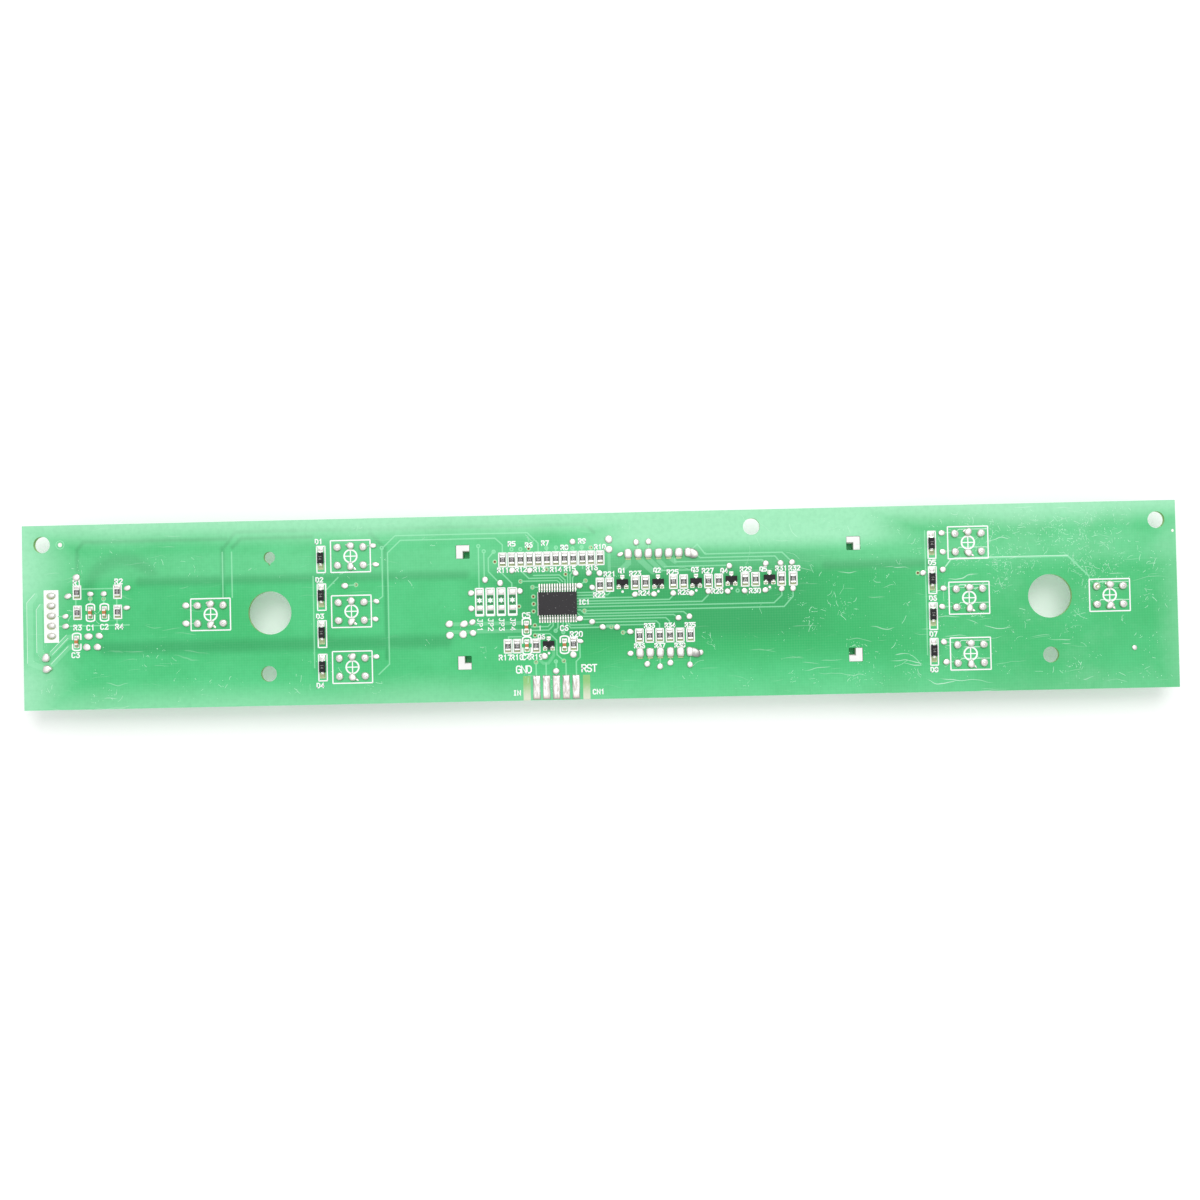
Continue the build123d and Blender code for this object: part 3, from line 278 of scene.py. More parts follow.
# front tracks: (width, points)
FRONT = [
    (1.5, [(-141.9, 5.6), (-143.2, 3.9), (-143.2, -11.4), (-139.6, -12.9)]),
    (1.5, [(-140.4, 2.9), (-140.8, 1.8), (-140.8, -8.7), (-139.3, -10.0)]),
    (1.3, [(-137.9, -9.2), (-133.7, -5.0), (-131.4, -4.9)]),
    (1.3, [(-137.8, -11.9), (-133.4, -7.5), (-131.4, -7.5)]),
    (0.3, [(-129.8, 7.1), (-122.0, 7.1)]), (0.3, [(-131.5, 4.4), (-131.5, 3.0)]), (0.3, [(-121.1, 4.4), (-121.1, 3.0)]),
    (0.3, [(-121.1, -0.7), (-121.1, -2.2)]), (0.3, [(-135.8, -2.2), (-118.0, -2.2)]), (0.3, [(-136.0, 0.3), (-134.1, 0.3)]),
    (0.3, [(-127.8, 3.2), (-127.8, 5.8)]), (0.3, [(-124.4, 3.2), (-124.4, 5.8)]), (0.3, [(-133.4, 5.4), (-132.0, 5.2)]),
    (0.3, [(-94.1, 15.6), (-94.1, 4.2)]), (0.3, [(-91.75, 15.6), (-91.75, 4.2)]),
    (0.35, [(-50.3, 18.8), (-17.0, 18.8), (-14.3, 16.1), (-14.3, 14.0)]), (0.35, [(-49.0, 17.6), (-25.1, 17.6), (-23.3, 15.9), (-23.3, 14.0)]),
    (0.35, [(-50.3, 18.8), (-53.7, 15.6), (-53.7, 3.6), (-55.3, 2.4)]), (0.35, [(-49.0, 17.6), (-52.3, 14.5), (-52.3, -13.5), (-55.0, -16.0)]),
    (0.35, [(-71.2, 9.0), (-71.2, -14.0)]), (0.35, [(-63.2, 6.5), (-60.4, 6.65)]), (0.3, [(-64.9, 8.6), (-67.9, 5.6)]),
    (0.35, [(82.6, 17.0), (82.6, -14.0)]), (0.45, [(87.2, 7.5), (88.9, 9.6), (90.0, 9.9), (118.1, 9.9), (123.2, 4.8)]),
    (0.35, [(86.8, 16.4), (90.0, 16.4)]), (0.35, [(87.0, 11.75), (90.0, 11.9)]), (0.35, [(86.9, 2.55), (90.0, 3.2), (93.0, 3.2)]),
    (0.35, [(86.5, -2.05), (90.0, -2.1)]), (0.35, [(86.7, -10.85), (90.0, -11.2)]), (0.35, [(87.2, -15.85), (90.0, -15.9)]),
    (0.3, [(124.9, 3.2), (131.0, 3.2)]), (0.3, [(126.0, -1.2), (131.3, -1.2)]),
    (0.35, [(-59.0, 16.4), (-55.9, 16.45)]), (0.35, [(-58.5, 11.7), (-55.3, 11.7)]), (0.35, [(-58.5, 2.4), (-55.3, 2.4)]),
    (0.35, [(-58.5, -2.1), (-55.6, -2.05)]), (0.35, [(-58.5, -11.5), (-55.6, -11.5)]), (0.35, [(-103.5, 2.37), (-100.6, 2.3)]),
    (0.35, [(-103.5, -2.17), (-100.6, -2.2)]),
    (1.0, [(-37.0, -3.85), (-18.5, -3.85)]), (1.0, [(-37.0, -5.8), (-18.5, -5.8)]),
    # right of the chip
    (0.32, [(-4.8, 2.0), (9.2, 2.0), (9.8, 2.7)]), (0.32, [(-4.8, 1.27), (18.4, 1.27), (19.4, 2.3)]),
    (0.32, [(-4.8, 0.6), (26.6, 0.6), (28.2, 2.2)]), (0.32, [(-4.8, -0.15), (44.6, -0.15), (46.6, 1.7), (46.6, 3.2)]),
    (0.32, [(-2.95, -1.15), (47.1, -1.15), (49.4, 1.4), (49.4, 3.2)]), (0.32, [(-4.8, -0.9), (-4.0, -0.9), (-3.0, -1.88), (21.9, -1.88), (23.3, -3.1)]),
    (0.32, [(-4.8, -1.6), (-3.9, -2.55), (19.4, -2.55), (20.6, -3.4)]), (0.32, [(-3.6, -3.3), (17.4, -3.3), (18.3, -4.2), (18.3, -6.0)]),
    (0.32, [(-1.1, -4.1), (15.0, -4.1), (15.8, -4.8), (15.8, -6.0)]), (0.32, [(2.5, -4.9), (12.0, -4.9), (13.2, -6.0)]),
    (0.32, [(-7.0, -4.2), (-6.5, -4.65), (-1.0, -4.65)]), (0.32, [(-7.6, -4.2), (-6.5, -5.35), (1.4, -5.35)]),
    (0.3, [(-4.8, 3.45), (-0.8, 3.45), (0.1, 4.4)]), (0.3, [(-4.8, 2.75), (3.0, 2.75), (3.5, 3.3)]),
    (0.35, [(23.6, 13.2), (25.7, 14.9), (27.6, 12.45), (46.9, 12.45), (49.3, 10.0)]), (0.35, [(23.6, 13.6), (26.4, 11.55), (45.1, 11.55), (46.4, 9.9)]),
    (0.35, [(20.0, 11.5), (20.0, 10.65), (41.9, 10.65), (42.7, 9.8)]), (0.35, [(17.3, 9.5), (33.1, 9.5)]), (0.35, [(16.4, 8.55), (23.9, 8.55), (25.2, 7.3)]),
    (1.5, [(8.3, 12.4), (8.3, 10.6), (6.9, 9.3)]), (1.5, [(11.0, 12.4), (11.0, 11.6), (14.4, 8.3)]), (1.2, [(13.6, 12.4), (13.6, 11.4), (16.4, 8.6)]),
    (1.2, [(16.0, 12.4), (16.0, 11.0), (17.4, 9.6)]), (1.2, [(18.5, 12.4), (18.5, 11.9), (20.0, 10.7)]), (0.85, [(3.5, 14.0), (3.5, 8.2), (3.5, 6.6)]),
    # left of and above the chip
    (0.35, [(-29.35, 15.4), (-29.35, 5.1)]), (0.35, [(-28.0, 14.1), (-28.0, 8.0)]),
    (0.35, [(-25.5, 14.2), (-26.9, 12.6), (-26.9, 9.2), (-24.5, 6.6)]), (0.35, [(-24.1, 9.3), (-21.1, 6.2), (-21.1, 5.1)]),
    (0.32, [(-15.6, 8.0), (-9.1, 8.0), (-7.7, 6.7), (-7.7, 6.0)]), (0.32, [(-18.8, 9.3), (-16.8, 7.3), (-9.3, 7.3), (-8.3, 6.3)]),
    (0.32, [(-18.9, 6.6), (-9.7, 6.6), (-9.0, 6.0)]), (0.32, [(-6.4, 6.0), (-6.4, 8.0), (-5.2, 9.2)]), (0.32, [(-5.8, 6.0), (-5.8, 7.2), (-5.0, 8.2)]),
    (0.32, [(-7.05, 6.0), (-7.05, 7.7)]), (0.32, [(-16.3, 5.05), (-15.9, 5.05), (-14.3, 5.0)]), (0.32, [(-2.55, 6.4), (-4.2, 5.2)]),
    # below the chip
    (0.32, [(-16.3, -4.9), (-12.2, -4.9), (-11.5, -4.2)]), (0.32, [(-16.3, -5.8), (-12.0, -5.8), (-10.9, -4.7), (-10.9, -4.0)]),
    (0.32, [(-22.2, -7.9), (-22.2, -7.3), (-18.9, -7.3)]), (0.32, [(-15.5, -6.7), (-11.8, -6.7), (-10.1, -8.4), (-10.1, -12.0), (-8.4, -13.6)]),
    (0.4, [(-15.4, -13.8), (-15.4, -17.2)]), (0.4, [(-12.9, -14.1), (-12.9, -17.2)]),
    (0.8, [(-14.4, -13.3), (-13.6, -14.1), (-12.3, -14.1), (-10.9, -12.2), (-10.9, -11.0)]), (0.4, [(-10.35, -13.7), (-10.35, -17.2)]),
    (0.4, [(-7.9, -14.2), (-7.9, -17.2)]), (0.4, [(-5.3, -17.2), (-5.3, -13.8), (-4.3, -12.8), (-4.3, -9.4)]),
    (0.32, [(-9.7, -4.0), (-9.7, -5.2), (-10.3, -6.0)]), (0.32, [(-8.4, -6.4), (-8.4, -4.0)]),
    (0.35, [(12.5, -14.8), (13.3, -13.2)]), (0.35, [(15.7, -15.5), (15.8, -13.2)]), (0.35, [(18.3, -14.6), (18.35, -13.2)]), (0.35, [(23.2, -15.2), (23.4, -13.2)]),
    (0.35, [(8.4, -6.6), (6.6, -6.8)]), (0.35, [(1.5, -5.3), (3.7, -5.3), (5.15, -5.4)]), (0.35, [(10.4, 15.8), (10.8, 14.0)]), (0.35, [(13.5, 15.9), (13.4, 14.0)]),
]  # fmt: skip
FRONT += [(0.32, [(-14.3 + 2.2 * k, 13.9), (-14.3 + 2.2 * k, 14.9)]) for k in range(0, 7)]
FRONT += [(0.3, [(x, 10.3), (x, 9.5)]) for x in ROW_X[3:10:2]]
# tracks on the other face: (width, points)
BACK = [
    (0.7, [(-93.5, 17.0), (-90.8, 20.7), (-2.5, 20.7), (-0.2, 18.6)]),
    (0.7, [(-91.5, 16.8), (-89.3, 19.0), (-71.5, 19.0)]),
    (0.8, [(-131.0, 12.0), (-131.0, 17.0), (-129.3, 19.0), (-93.0, 19.0)]),
    (2.2, [(-115.0, 8.6), (-33.0, 8.6)]),
    (3.2, [(-124.0, -8.0), (-38.0, -8.0)]),
    (2.2, [(58.0, 9.0), (84.0, 9.0)]),
    (1.0, [(-94.1, 16.6), (-94.1, 4.0)]),
    (0.8, [(-56.5, 19.5), (-52.9, 15.5), (-52.9, -12.0)]),
]

# ------------------------------------------------------------------ material helpers
class Mat:
    """A node tree with short-hand for the nodes used here."""

    def __init__(self, name, color=(0.8, 0.8, 0.8), rough=0.5, metal=0.0, **sockets):
        self.m = bpy.data.materials.new(name)
        self.m.use_nodes = True
        self.nt = self.m.node_tree
        self.p = self.nt.nodes["Principled BSDF"]
        self.p.inputs["Base Color"].default_value = (*color, 1)
        self.p.inputs["Roughness"].default_value = rough
        self.p.inputs["Metallic"].default_value = metal
        for k, v in sockets.items():
            self.p.inputs[k.replace("_", " ")].default_value = v
        self.tc = self.nt.nodes.new("ShaderNodeTexCoord")
        self.obj = self.tc.outputs["Object"]

    def node(self, kind, **props):
        n = self.nt.nodes.new(kind)
        for k, v in props.items():
            setattr(n, k, v)
        return n

    def link(self, a, b):
        self.nt.links.new(a, b)

    def math(self, op, a, b=None, c=None, clamp=False):
        n = self.node("ShaderNodeMath", operation=op, use_clamp=clamp)
        for i, x in enumerate((a, b, c)):
            if x is None:
                continue
            if isinstance(x, (int, float)):
                n.inputs[i].default_value = x
            else:
                self.link(x, n.inputs[i])
        return n.outputs[0]

    def vmath(self, op, a, b=None, scale=None):
        n = self.node("ShaderNodeVectorMath", operation=op)
        for i, x in enumerate((a, b)):
            if x is None:
                continue
            if isinstance(x, (tuple, list)):
                n.inputs[i].default_value = x
            else:
                self.link(x, n.inputs[i])
        if scale is not None:
            if isinstance(scale, (int, float)):
                n.inputs["Scale"].default_value = scale
            else:
                self.link(scale, n.inputs["Scale"])
        return n

    def noise(self, scale_per_mm, detail=3.0, rough=0.5, vector=None, distortion=0.0):
        n = self.node("ShaderNodeTexNoise")
        n.inputs["Scale"].default_value = scale_per_mm * 1000
        n.inputs["Detail"].default_value = detail
        n.inputs["Roughness"].default_value = rough
        n.inputs["Distortion"].default_value = distortion
        self.link(vector or self.obj, n.inputs["Vector"])
        return n.outputs[0]

    def remap(self, x, a, b, c=0.0, d=1.0, smooth=True):
        n = self.node("ShaderNodeMapRange", interpolation_type="SMOOTHSTEP" if smooth else "LINEAR", clamp=True)
        self.link(x, n.inputs["Value"])
        for k, v in zip(("From Min", "From Max", "To Min", "To Max"), (a, b, c, d)):
            n.inputs[k].default_value = v
        return n.outputs[0]

    def mix(self, f, a, b, blend="MIX"):
        n = self.node("ShaderNodeMix", data_type="RGBA", blend_type=blend)
        ins = [s for s in n.inputs if s.enabled]
        if isinstance(f, (int, float)):
            ins[0].default_value = f
        else:
            self.link(f, ins[0])
        for s, x in ((ins[1], a), (ins[2], b)):
            if isinstance(x, (tuple, list)):
                s.default_value = (*x, 1) if len(x) == 3 else x
            else:
                self.link(x, s)
        return [o for o in n.outputs if o.enabled][0]

    def color(self, x):
        self.link(x, self.p.inputs["Base Color"])

    def rough(self, x):
        self.link(x, self.p.inputs["Roughness"])

    def bump(self, h, strength=0.3, distance_mm=0.02):
        n = self.node("ShaderNodeBump")
        n.inputs["Strength"].default_value = strength
        n.inputs["Distance"].default_value = distance_mm * MM
        self.link(h, n.inputs["Height"])
        self.link(n.outputs[0], self.p.inputs["Normal"])

    def xyz(self):
        n = self.node("ShaderNodeSeparateXYZ")
        s = self.vmath("SCALE", self.obj, scale=1000.0)
        self.link(s.outputs[0], n.inputs[0])
        return n.outputs


def srgb(r, g, b):
    def f(c):
        c /= 255
        return c / 12.92 if c <= 0.04045 else ((c + 0.055) / 1.055) ** 2.4

    return (f(r), f(g), f(b))


def plain(name, color, rough, metal=0.0, grain=1.2, vary=0.12, bump=0.15, bump_mm=0.01, rvary=0.1, **kw):
    """A moulded or metal finish: slow tone change, fine grain, uneven gloss."""
    m = Mat(name, color, rough, metal, **kw)
    slow = m.noise(grain * 0.25, 2.0)
    fine = m.noise(grain * 6, 4.0, 0.6)
    t = m.math("ADD", m.math("MULTIPLY", slow, 0.6), m.math("MULTIPLY", fine, 0.4))
    lo = tuple(c * (1 - vary) for c in color)
    hi = tuple(min(1.0, c * (1 + vary)) for c in color)
    m.color(m.mix(m.remap(t, 0.3, 0.7), lo, hi))
    m.rough(m.remap(fine, 0.25, 0.75, max(0.03, rough - rvary), min(1, rough + rvary)))
    m.bump(fine, bump, bump_mm)
    return m


def board_material(name, face=1, raised=0.0):
    """Translucent green mask over laminate. Its colour holds painted light and shade standing in for light that comes
    through the board: paler edges, a deeper middle, and soft dark shapes where copper of the other face blocks that
    light.
    """
    m = Mat(name, (0.1, 0.55, 0.2), 0.38, Specular_IOR_Level=0.36)
    x, y, z = m.xyz()
    edge = m.noise(0.03, 2.0)
    wob = m.math("MULTIPLY", m.math("SUBTRACT", edge, 0.5), 5.0)
    # painted light: paler towards the upper, lower and left edges, where light comes through bare laminate
    yy = m.math("ADD", y, wob)
    up = m.remap(yy, 15.5, 23.5)
    low = m.remap(m.math("MULTIPLY", yy, -1.0), 15.0, 25.0)
    left = m.remap(m.math("MULTIPLY", x, -1.0), 128.0, 147.0)
    right = m.remap(x, 138.0, 147.0)
    upper_mid = m.math("MULTIPLY", m.remap(m.math("ABSOLUTE", m.math("SUBTRACT", x, 38.0)), 26.0, 48.0, 1.0, 0.0), m.remap(y, 12.0, 17.0))
    lowleft = m.math("MULTIPLY", m.remap(m.math("MULTIPLY", x, -1.0), -20.0, 60.0), 0.35)
    pale = m.math("ADD", m.math("MULTIPLY", up, 0.86), m.math("MULTIPLY", low, m.math("ADD", 0.2, lowleft)))
    left = m.math("MULTIPLY", left, m.remap(m.math("ABSOLUTE", m.math("ADD", y, 4.0)), 4.0, 13.0, 0.45, 0.9))
    pale = m.math("MAXIMUM", pale, left)
    pale = m.math("MAXIMUM", pale, m.math("MULTIPLY", right, 0.35))
    pale = m.math("MAXIMUM", pale, m.math("MULTIPLY", upper_mid, 0.82), clamp=True)
    # painted light: a paler band along y = 12.5
    rise = m.math("MULTIPLY", m.remap(m.math("ABSOLUTE", m.math("SUBTRACT", y, 12.5)), 1.5, 6.0, 1.0, 0.0), 0.2)
    # painted shade: deeper green over the middle of the board, towards the right end and around the chip
    mid = m.remap(m.math("ABSOLUTE", m.math("ADD", y, 1.5)), 8.0, 18.5, 1.0, 0.0)
    shade_left = m.remap(m.math("ABSOLUTE", m.math("SUBTRACT", x, -82.0)), 30.0, 60.0, 1.0, 0.0)
    shade_right = m.remap(m.math("ABSOLUTE", m.math("SUBTRACT", x, 32.0)), 32.0, 62.0, 1.0, 0.0)
    deep_shade = m.math("MULTIPLY", mid, m.math("ADD", m.math("MULTIPLY", shade_left, 0.18), m.math("MULTIPLY", shade_right, 0.78)), clamp=True)
    end_r = m.math("MULTIPLY", m.remap(x, 84.0, 100.0), m.remap(y, -4.0, 12.0, 0.3, 0.05))
    deep_shade = m.math("MAXIMUM", deep_shade, end_r)
    core_x = m.remap(m.math("ABSOLUTE", m.math("SUBTRACT", x, 14.0)), 32.0, 50.0, 1.0, 0.0)
    core_y = m.remap(m.math("ABSOLUTE", m.math("SUBTRACT", y, 2.5)), 8.0, 13.5, 1.0, 0.0)
    core_shade = m.math("MULTIPLY", core_x, core_y)
    # painted shade: soft dark shapes along the copper of the other face, where it blocks light coming through the board
    pts = m.node("ShaderNodeCombineXYZ")
    m.link(x, pts.inputs[0])
    m.link(y, pts.inputs[1])
    p = pts.outputs[0]
    shade = None
    for width, line in BACK if face > 0 else FRONT[:4]:
        for a, b in zip(line, line[1:]):
            ba = (b[0] - a[0], b[1] - a[1], 0)
            ll = ba[0] ** 2 + ba[1] ** 2
            pa = m.vmath("SUBTRACT", p, (a[0], a[1], 0)).outputs[0]
            h = m.math("MULTIPLY", m.vmath("DOT_PRODUCT", pa, ba).outputs["Value"], 1 / ll, clamp=True)
            q = m.vmath("SCALE", ba, scale=h).outputs[0]
            d = m.vmath("LENGTH", m.vmath("SUBTRACT", pa, q).outputs[0]).outputs["Value"]
            soft = 0.26 + width * 0.32
            s = m.remap(d, max(0.0, width / 2 - soft), width / 2 + soft, 1.0, 0.0)
            shade = s if shade is None else m.math("MAXIMUM", shade, s)
    # painted shade: a soft dark ring behind the chips at the left, stronger towards its upper side
    dx, dy = m.math("SUBTRACT", x, -119.5), m.math("SUBTRACT", y, 5.5)
    rad = m.math("SQRT", m.math("ADD", m.math("MULTIPLY", dx, dx), m.math("MULTIPLY", dy, dy)))
    ring_shade = m.math("MULTIPLY", m.remap(m.math("ABSOLUTE", m.math("SUBTRACT", rad, 8.8)), 0.2, 3.0, 1.0, 0.0), m.remap(m.math("ADD", dy, m.math("MULTIPLY", dx, -0.3)), -4.0, 6.0, 0.12, 0.9))
    shade = m.math("MAXIMUM", shade, ring_shade)
    cloud = m.noise(0.05, 4.0, 0.55)
    fine = m.noise(0.9, 4.0, 0.6)
    weave_a = m.node("ShaderNodeTexWave", wave_type="BANDS", bands_direction="X")
    weave_b = m.node("ShaderNodeTexWave", wave_type="BANDS", bands_direction="Y")
    for w in (weave_a, weave_b):
        w.inputs["Scale"].default_value = 480
        w.inputs["Distortion"].default_value = 1.2
        w.inputs["Detail"].default_value = 1.0
        m.link(m.obj, w.inputs["Vector"])
    weave = m.math("MULTIPLY", m.math("ADD", weave_a.outputs["Fac"], weave_b.outputs["Fac"]), 0.5)
    base = m.mix(m.remap(cloud, 0.3, 0.7), srgb(57, 190, 112), srgb(77, 203, 130))
    # mix in the painted shade and painted light worked out above
    base = m.mix(deep_shade, base, srgb(8, 172, 86))
    base = m.mix(m.math("MULTIPLY", core_shade, 0.45), base, srgb(0, 142, 74))
    base = m.mix(m.math("MULTIPLY", shade, 0.46), base, srgb(8, 138, 72))
    base = m.mix(rise, base, srgb(154, 236, 186))
    base = m.mix(pale, base, srgb(166, 235, 192))
    base = m.mix(m.math("MULTIPLY", m.remap(weave, 0.2, 0.9), 0.04), base, srgb(170, 240, 195))
    base = m.mix(m.math("MULTIPLY", m.remap(fine, 0.35, 0.75), 0.10), base, srgb(30, 140, 75))
    if raised:
        base = m.mix(raised, base, srgb(170, 244, 198))
    # hairline scratches, mostly over the right half, and flux haze
    hair = None
    for k, (turn, sx, sy, lim) in enumerate(((0.5, 0.055, 1.7, 0.735), (-0.35, 0.05, 1.9, 0.74), (1.25, 0.07, 1.6, 0.745), (2.3, 0.06, 1.8, 0.74))):
        mp = m.node("ShaderNodeMapping")
        mp.inputs["Rotation"].default_value = (0, 0, turn)
        mp.inputs["Location"].default_value = (0.31 * k, 0.17 * k, 0)
        mp.inputs["Scale"].default_value = (sx * 1000, sy * 1000, 1)
        warp = m.vmath("ADD", m.obj, None)
        wn = m.node("ShaderNodeTexNoise")
        wn.inputs["Scale"].default_value = 60 + 17 * k
        m.link(m.obj, wn.inputs["Vector"])
        ws = m.vmath("SCALE", wn.outputs["Color"], scale=0.006)
        m.link(ws.outputs[0], warp.inputs[1])
        m.link(warp.outputs[0], mp.inputs["Vector"])
        n = m.node("ShaderNodeTexNoise")
        n.inputs["Scale"].default_value = 1.0
        n.inputs["Detail"].default_value = 1.0
        m.link(mp.outputs[0], n.inputs["Vector"])
        s = m.remap(n.outputs[0], lim - 0.015, lim + 0.01)
        hair = s if hair is None else m.math("MAXIMUM", hair, s)
    patch = m.remap(m.noise(0.035, 3.0, 0.6), 0.42, 0.62)
    where = m.math("ADD", m.remap(x, 20.0, 95.0, 0.12, 0.95), m.math("MULTIPLY", m.remap(m.math("MULTIPLY", x, -1.0), 80.0, 125.0), 0.3), clamp=True)
    hair = m.math("MULTIPLY", m.math("MULTIPLY", hair, patch), where)
    specks = m.math("MULTIPLY", m.remap(m.noise(1.6, 2.0), 0.735, 0.77), m.math("MULTIPLY", patch, where))
    hair = m.math("MAXIMUM", hair, m.math("MULTIPLY", specks, 0.8))
    haze = m.math("MULTIPLY", m.remap(m.noise(0.11, 6.0, 0.7), 0.42, 0.72, 0.25, 1.0), m.remap(x, 58.0, 128.0, 0.0, 0.09))
    if face > 0:
        base = m.mix(m.math("MULTIPLY", hair, 0.75), base, srgb(225, 250, 235))
        base = m.mix(haze, base, srgb(215, 245, 228))
    # sawn and drilled edges show the bare laminate
    geo = m.node("ShaderNodeNewGeometry")
    sep = m.node("ShaderNodeSeparateXYZ")
    m.link(geo.outputs["True Normal"], sep.inputs[0])
    side = m.remap(m.math("ABSOLUTE", sep.outputs[2]), 0.5, 0.7, 1.0, 0.0)
    if not raised:
        glass = m.node("ShaderNodeTexWave", wave_type="BANDS", bands_direction="Z")
        glass.inputs["Scale"].default_value = 900
        glass.inputs["Distortion"].default_value = 3.0
        glass.inputs["Detail"].default_value = 3.0
        m.link(m.obj, glass.inputs["Vector"])
        lam = m.mix(glass.outputs["Fac"], srgb(120, 176, 98), srgb(170, 214, 140))
        base = m.mix(side, base, lam)
    m.color(base)
    r = m.math("ADD", m.remap(fine, 0.3, 0.7, 0.30, 0.40), m.math("MULTIPLY", hair, 0.2))
    m.rough(m.math("ADD", r, m.math("MULTIPLY", side, 0.3), clamp=True))
    m.bump(m.math("ADD", m.math("MULTIPLY", fine, 0.6), m.math("MULTIPLY", weave, 0.25)), 0.12, 0.012)
    return m


def solder_material(name, rough=0.2):
    """Bright tin solder: frosty crown, smoother flanks, amber flux in the low spots, with painted shade on the flanks
    that face down and to the left.
    """
    m = Mat(name, (0.9, 0.88, 0.85), rough, 0.8)
    n = m.noise(1.4, 4.0, 0.6)
    g = m.noise(9.0, 3.0, 0.6)
    geo = m.node("ShaderNodeNewGeometry")
    sep = m.node("ShaderNodeSeparateXYZ")
    m.link(geo.outputs["Normal"], sep.inputs[0])
    # olive near the foot, strongest on flanks facing down and to the left: flux, plus painted shade and reflection on
    # the side away from the key light
    low = m.math("MULTIPLY", m.remap(sep.outputs[2], 0.25, 0.8, 1.0, 0.0), m.remap(m.math("ADD", sep.outputs[1], m.math("MULTIPLY", sep.outputs[0], 0.5)), -0.6, 0.35, 1.0, 0.12))
    flux_and_shade = m.math("MULTIPLY", m.math("MULTIPLY", low, m.remap(n, 0.3, 0.6, 0.35, 1.0)), 0.85)
    base = m.mix(m.remap(g, 0.3, 0.7), (0.80, 0.77, 0.74), (0.95, 0.92, 0.89))
    m.color(m.mix(flux_and_shade, base, (0.30, 0.34, 0.15)))
    m.rough(m.remap(g, 0.25, 0.75, rough + 0.08, rough + 0.32))
    m.bump(n, 0.25, 0.05)
    return m


M = {
    "board": board_material("green_mask"),
    "track": board_material("green_mask_over_copper", raised=0.5),
    "wide": board_material("green_mask_over_broad_copper", raised=0.24),
    "dark": board_material("green_mask_dark_edge", raised=0.0),
    # darker green for painted shade under and between parts
    "painted_shade": plain("painted_shade_green", srgb(30, 110, 62), 0.4, grain=1.0, vary=0.1),
    "bright": plain("lit_copper_edge", srgb(214, 246, 226), 0.35, grain=1.0, vary=0.06),
    "print": plain("white_print", (0.98, 0.98, 0.97), 0.5, grain=1.0, vary=0.04, bump=0.2, bump_mm=0.01),
    "solder": solder_material("solder", 0.2),
    "etch": plain("etched_code", (0.34, 0.34, 0.32), 0.6),
    "dull": plain("dull_solder", (0.52, 0.52, 0.49), 0.42, 0.6, grain=2.4, vary=0.5),
    "pin_end": plain("cut_pin_end", (0.42, 0.41, 0.38), 0.45, 0.4, grain=2.0, vary=0.2),
    "pad": solder_material("tinned_pad", 0.3),
    # olive copy of the solder: flux in the joint that didn't fill, and painted shade on the lower ends and lower-left
    # sides of joints, away from the key light
    "flux_and_painted_shade": plain("fluxed_solder_and_painted_shade", (0.42, 0.50, 0.27), 0.36, 0.35, grain=1.5, vary=0.15),
    "tin": plain("tin_plate", (0.80, 0.79, 0.77), 0.3, 0.95, grain=1.5, vary=0.08),
    "moulding": plain("black_epoxy", (0.016, 0.014, 0.017), 0.5, grain=2.2, vary=0.35, bump=0.35, bump_mm=0.015, Specular_IOR_Level=0.2),
    "ceramic": plain("alumina", (0.78, 0.76, 0.72), 0.6, grain=2.0, vary=0.08),
    "overcoat": plain("black_overcoat", (0.028, 0.022, 0.02), 0.3, grain=2.0, vary=0.4),
    "tan": plain("tan_ceramic", (0.53, 0.20, 0.055), 0.45, grain=2.0, vary=0.2),
    "white": plain("white_reflector", (0.88, 0.88, 0.86), 0.38, grain=0.8, vary=0.03, bump=0.1),
    "film": plain("smoked_film", (0.035, 0.035, 0.04), 0.22, grain=0.6, vary=0.2, bump=0.05),
    "nylon": plain("natural_nylon", (0.84, 0.81, 0.70), 0.42, grain=0.9, vary=0.05, Subsurface_Weight=0.15, Subsurface_Scale=0.002),
    "sleeve": plain("shrink_sleeve", (0.02, 0.022, 0.05), 0.28, grain=0.7, vary=0.2),
    "rubber": plain("seal_rubber", (0.03, 0.03, 0.03), 0.7),
    "paper": plain("winding_paper", (0.55, 0.48, 0.36), 0.8),
    "blackp": plain("black_plastic", (0.025, 0.025, 0.028), 0.42, grain=1.2, vary=0.2),
    "steel": plain("stamped_steel", (0.62, 0.62, 0.61), 0.32, 1.0, grain=1.0, vary=0.08, bump=0.2),
    "lens": plain("clear_lens", (0.90, 0.93, 0.93), 0.12, grain=0.8, vary=0.02, Transmission_Weight=0.5),
    "cap": plain("milky_cap", (0.86, 0.87, 0.86), 0.35, grain=0.8, vary=0.03, Subsurface_Weight=0.3, Subsurface_Scale=0.002),
    "pale": plain("display_laminate_painted_glow", (0.06, 0.46, 0.16), 0.45, grain=0.8, vary=0.2, Emission_Strength=0.1),
    "chip": plain("phosphor_chip", (0.85, 0.75, 0.32), 0.35, grain=1.0, vary=0.08),
    "barrel": plain("plated_barrel", (0.50, 0.46, 0.24), 0.35, 0.5, grain=2.0),
    "hole_shade": plain("painted_hole_shade", (0.10, 0.045, 0.015), 0.7),
    "mark": plain("pale_mark", srgb(186, 240, 206), 0.6, grain=1.0, vary=0.1),
    "segment": plain("pale_segment", (0.16, 0.16, 0.155), 0.3, grain=0.8, vary=0.04),
    "alu": plain("aluminium_end", (0.78, 0.78, 0.79), 0.28, 1.0, grain=0.8, vary=0.05),
}
# painted light: the display's laminate glows faintly green, as if lit through the board
M["pale"].p.inputs["Emission Color"].default_value = (0.05, 0.8, 0.25, 1)
M = {key: mat.m for key, mat in M.items()}
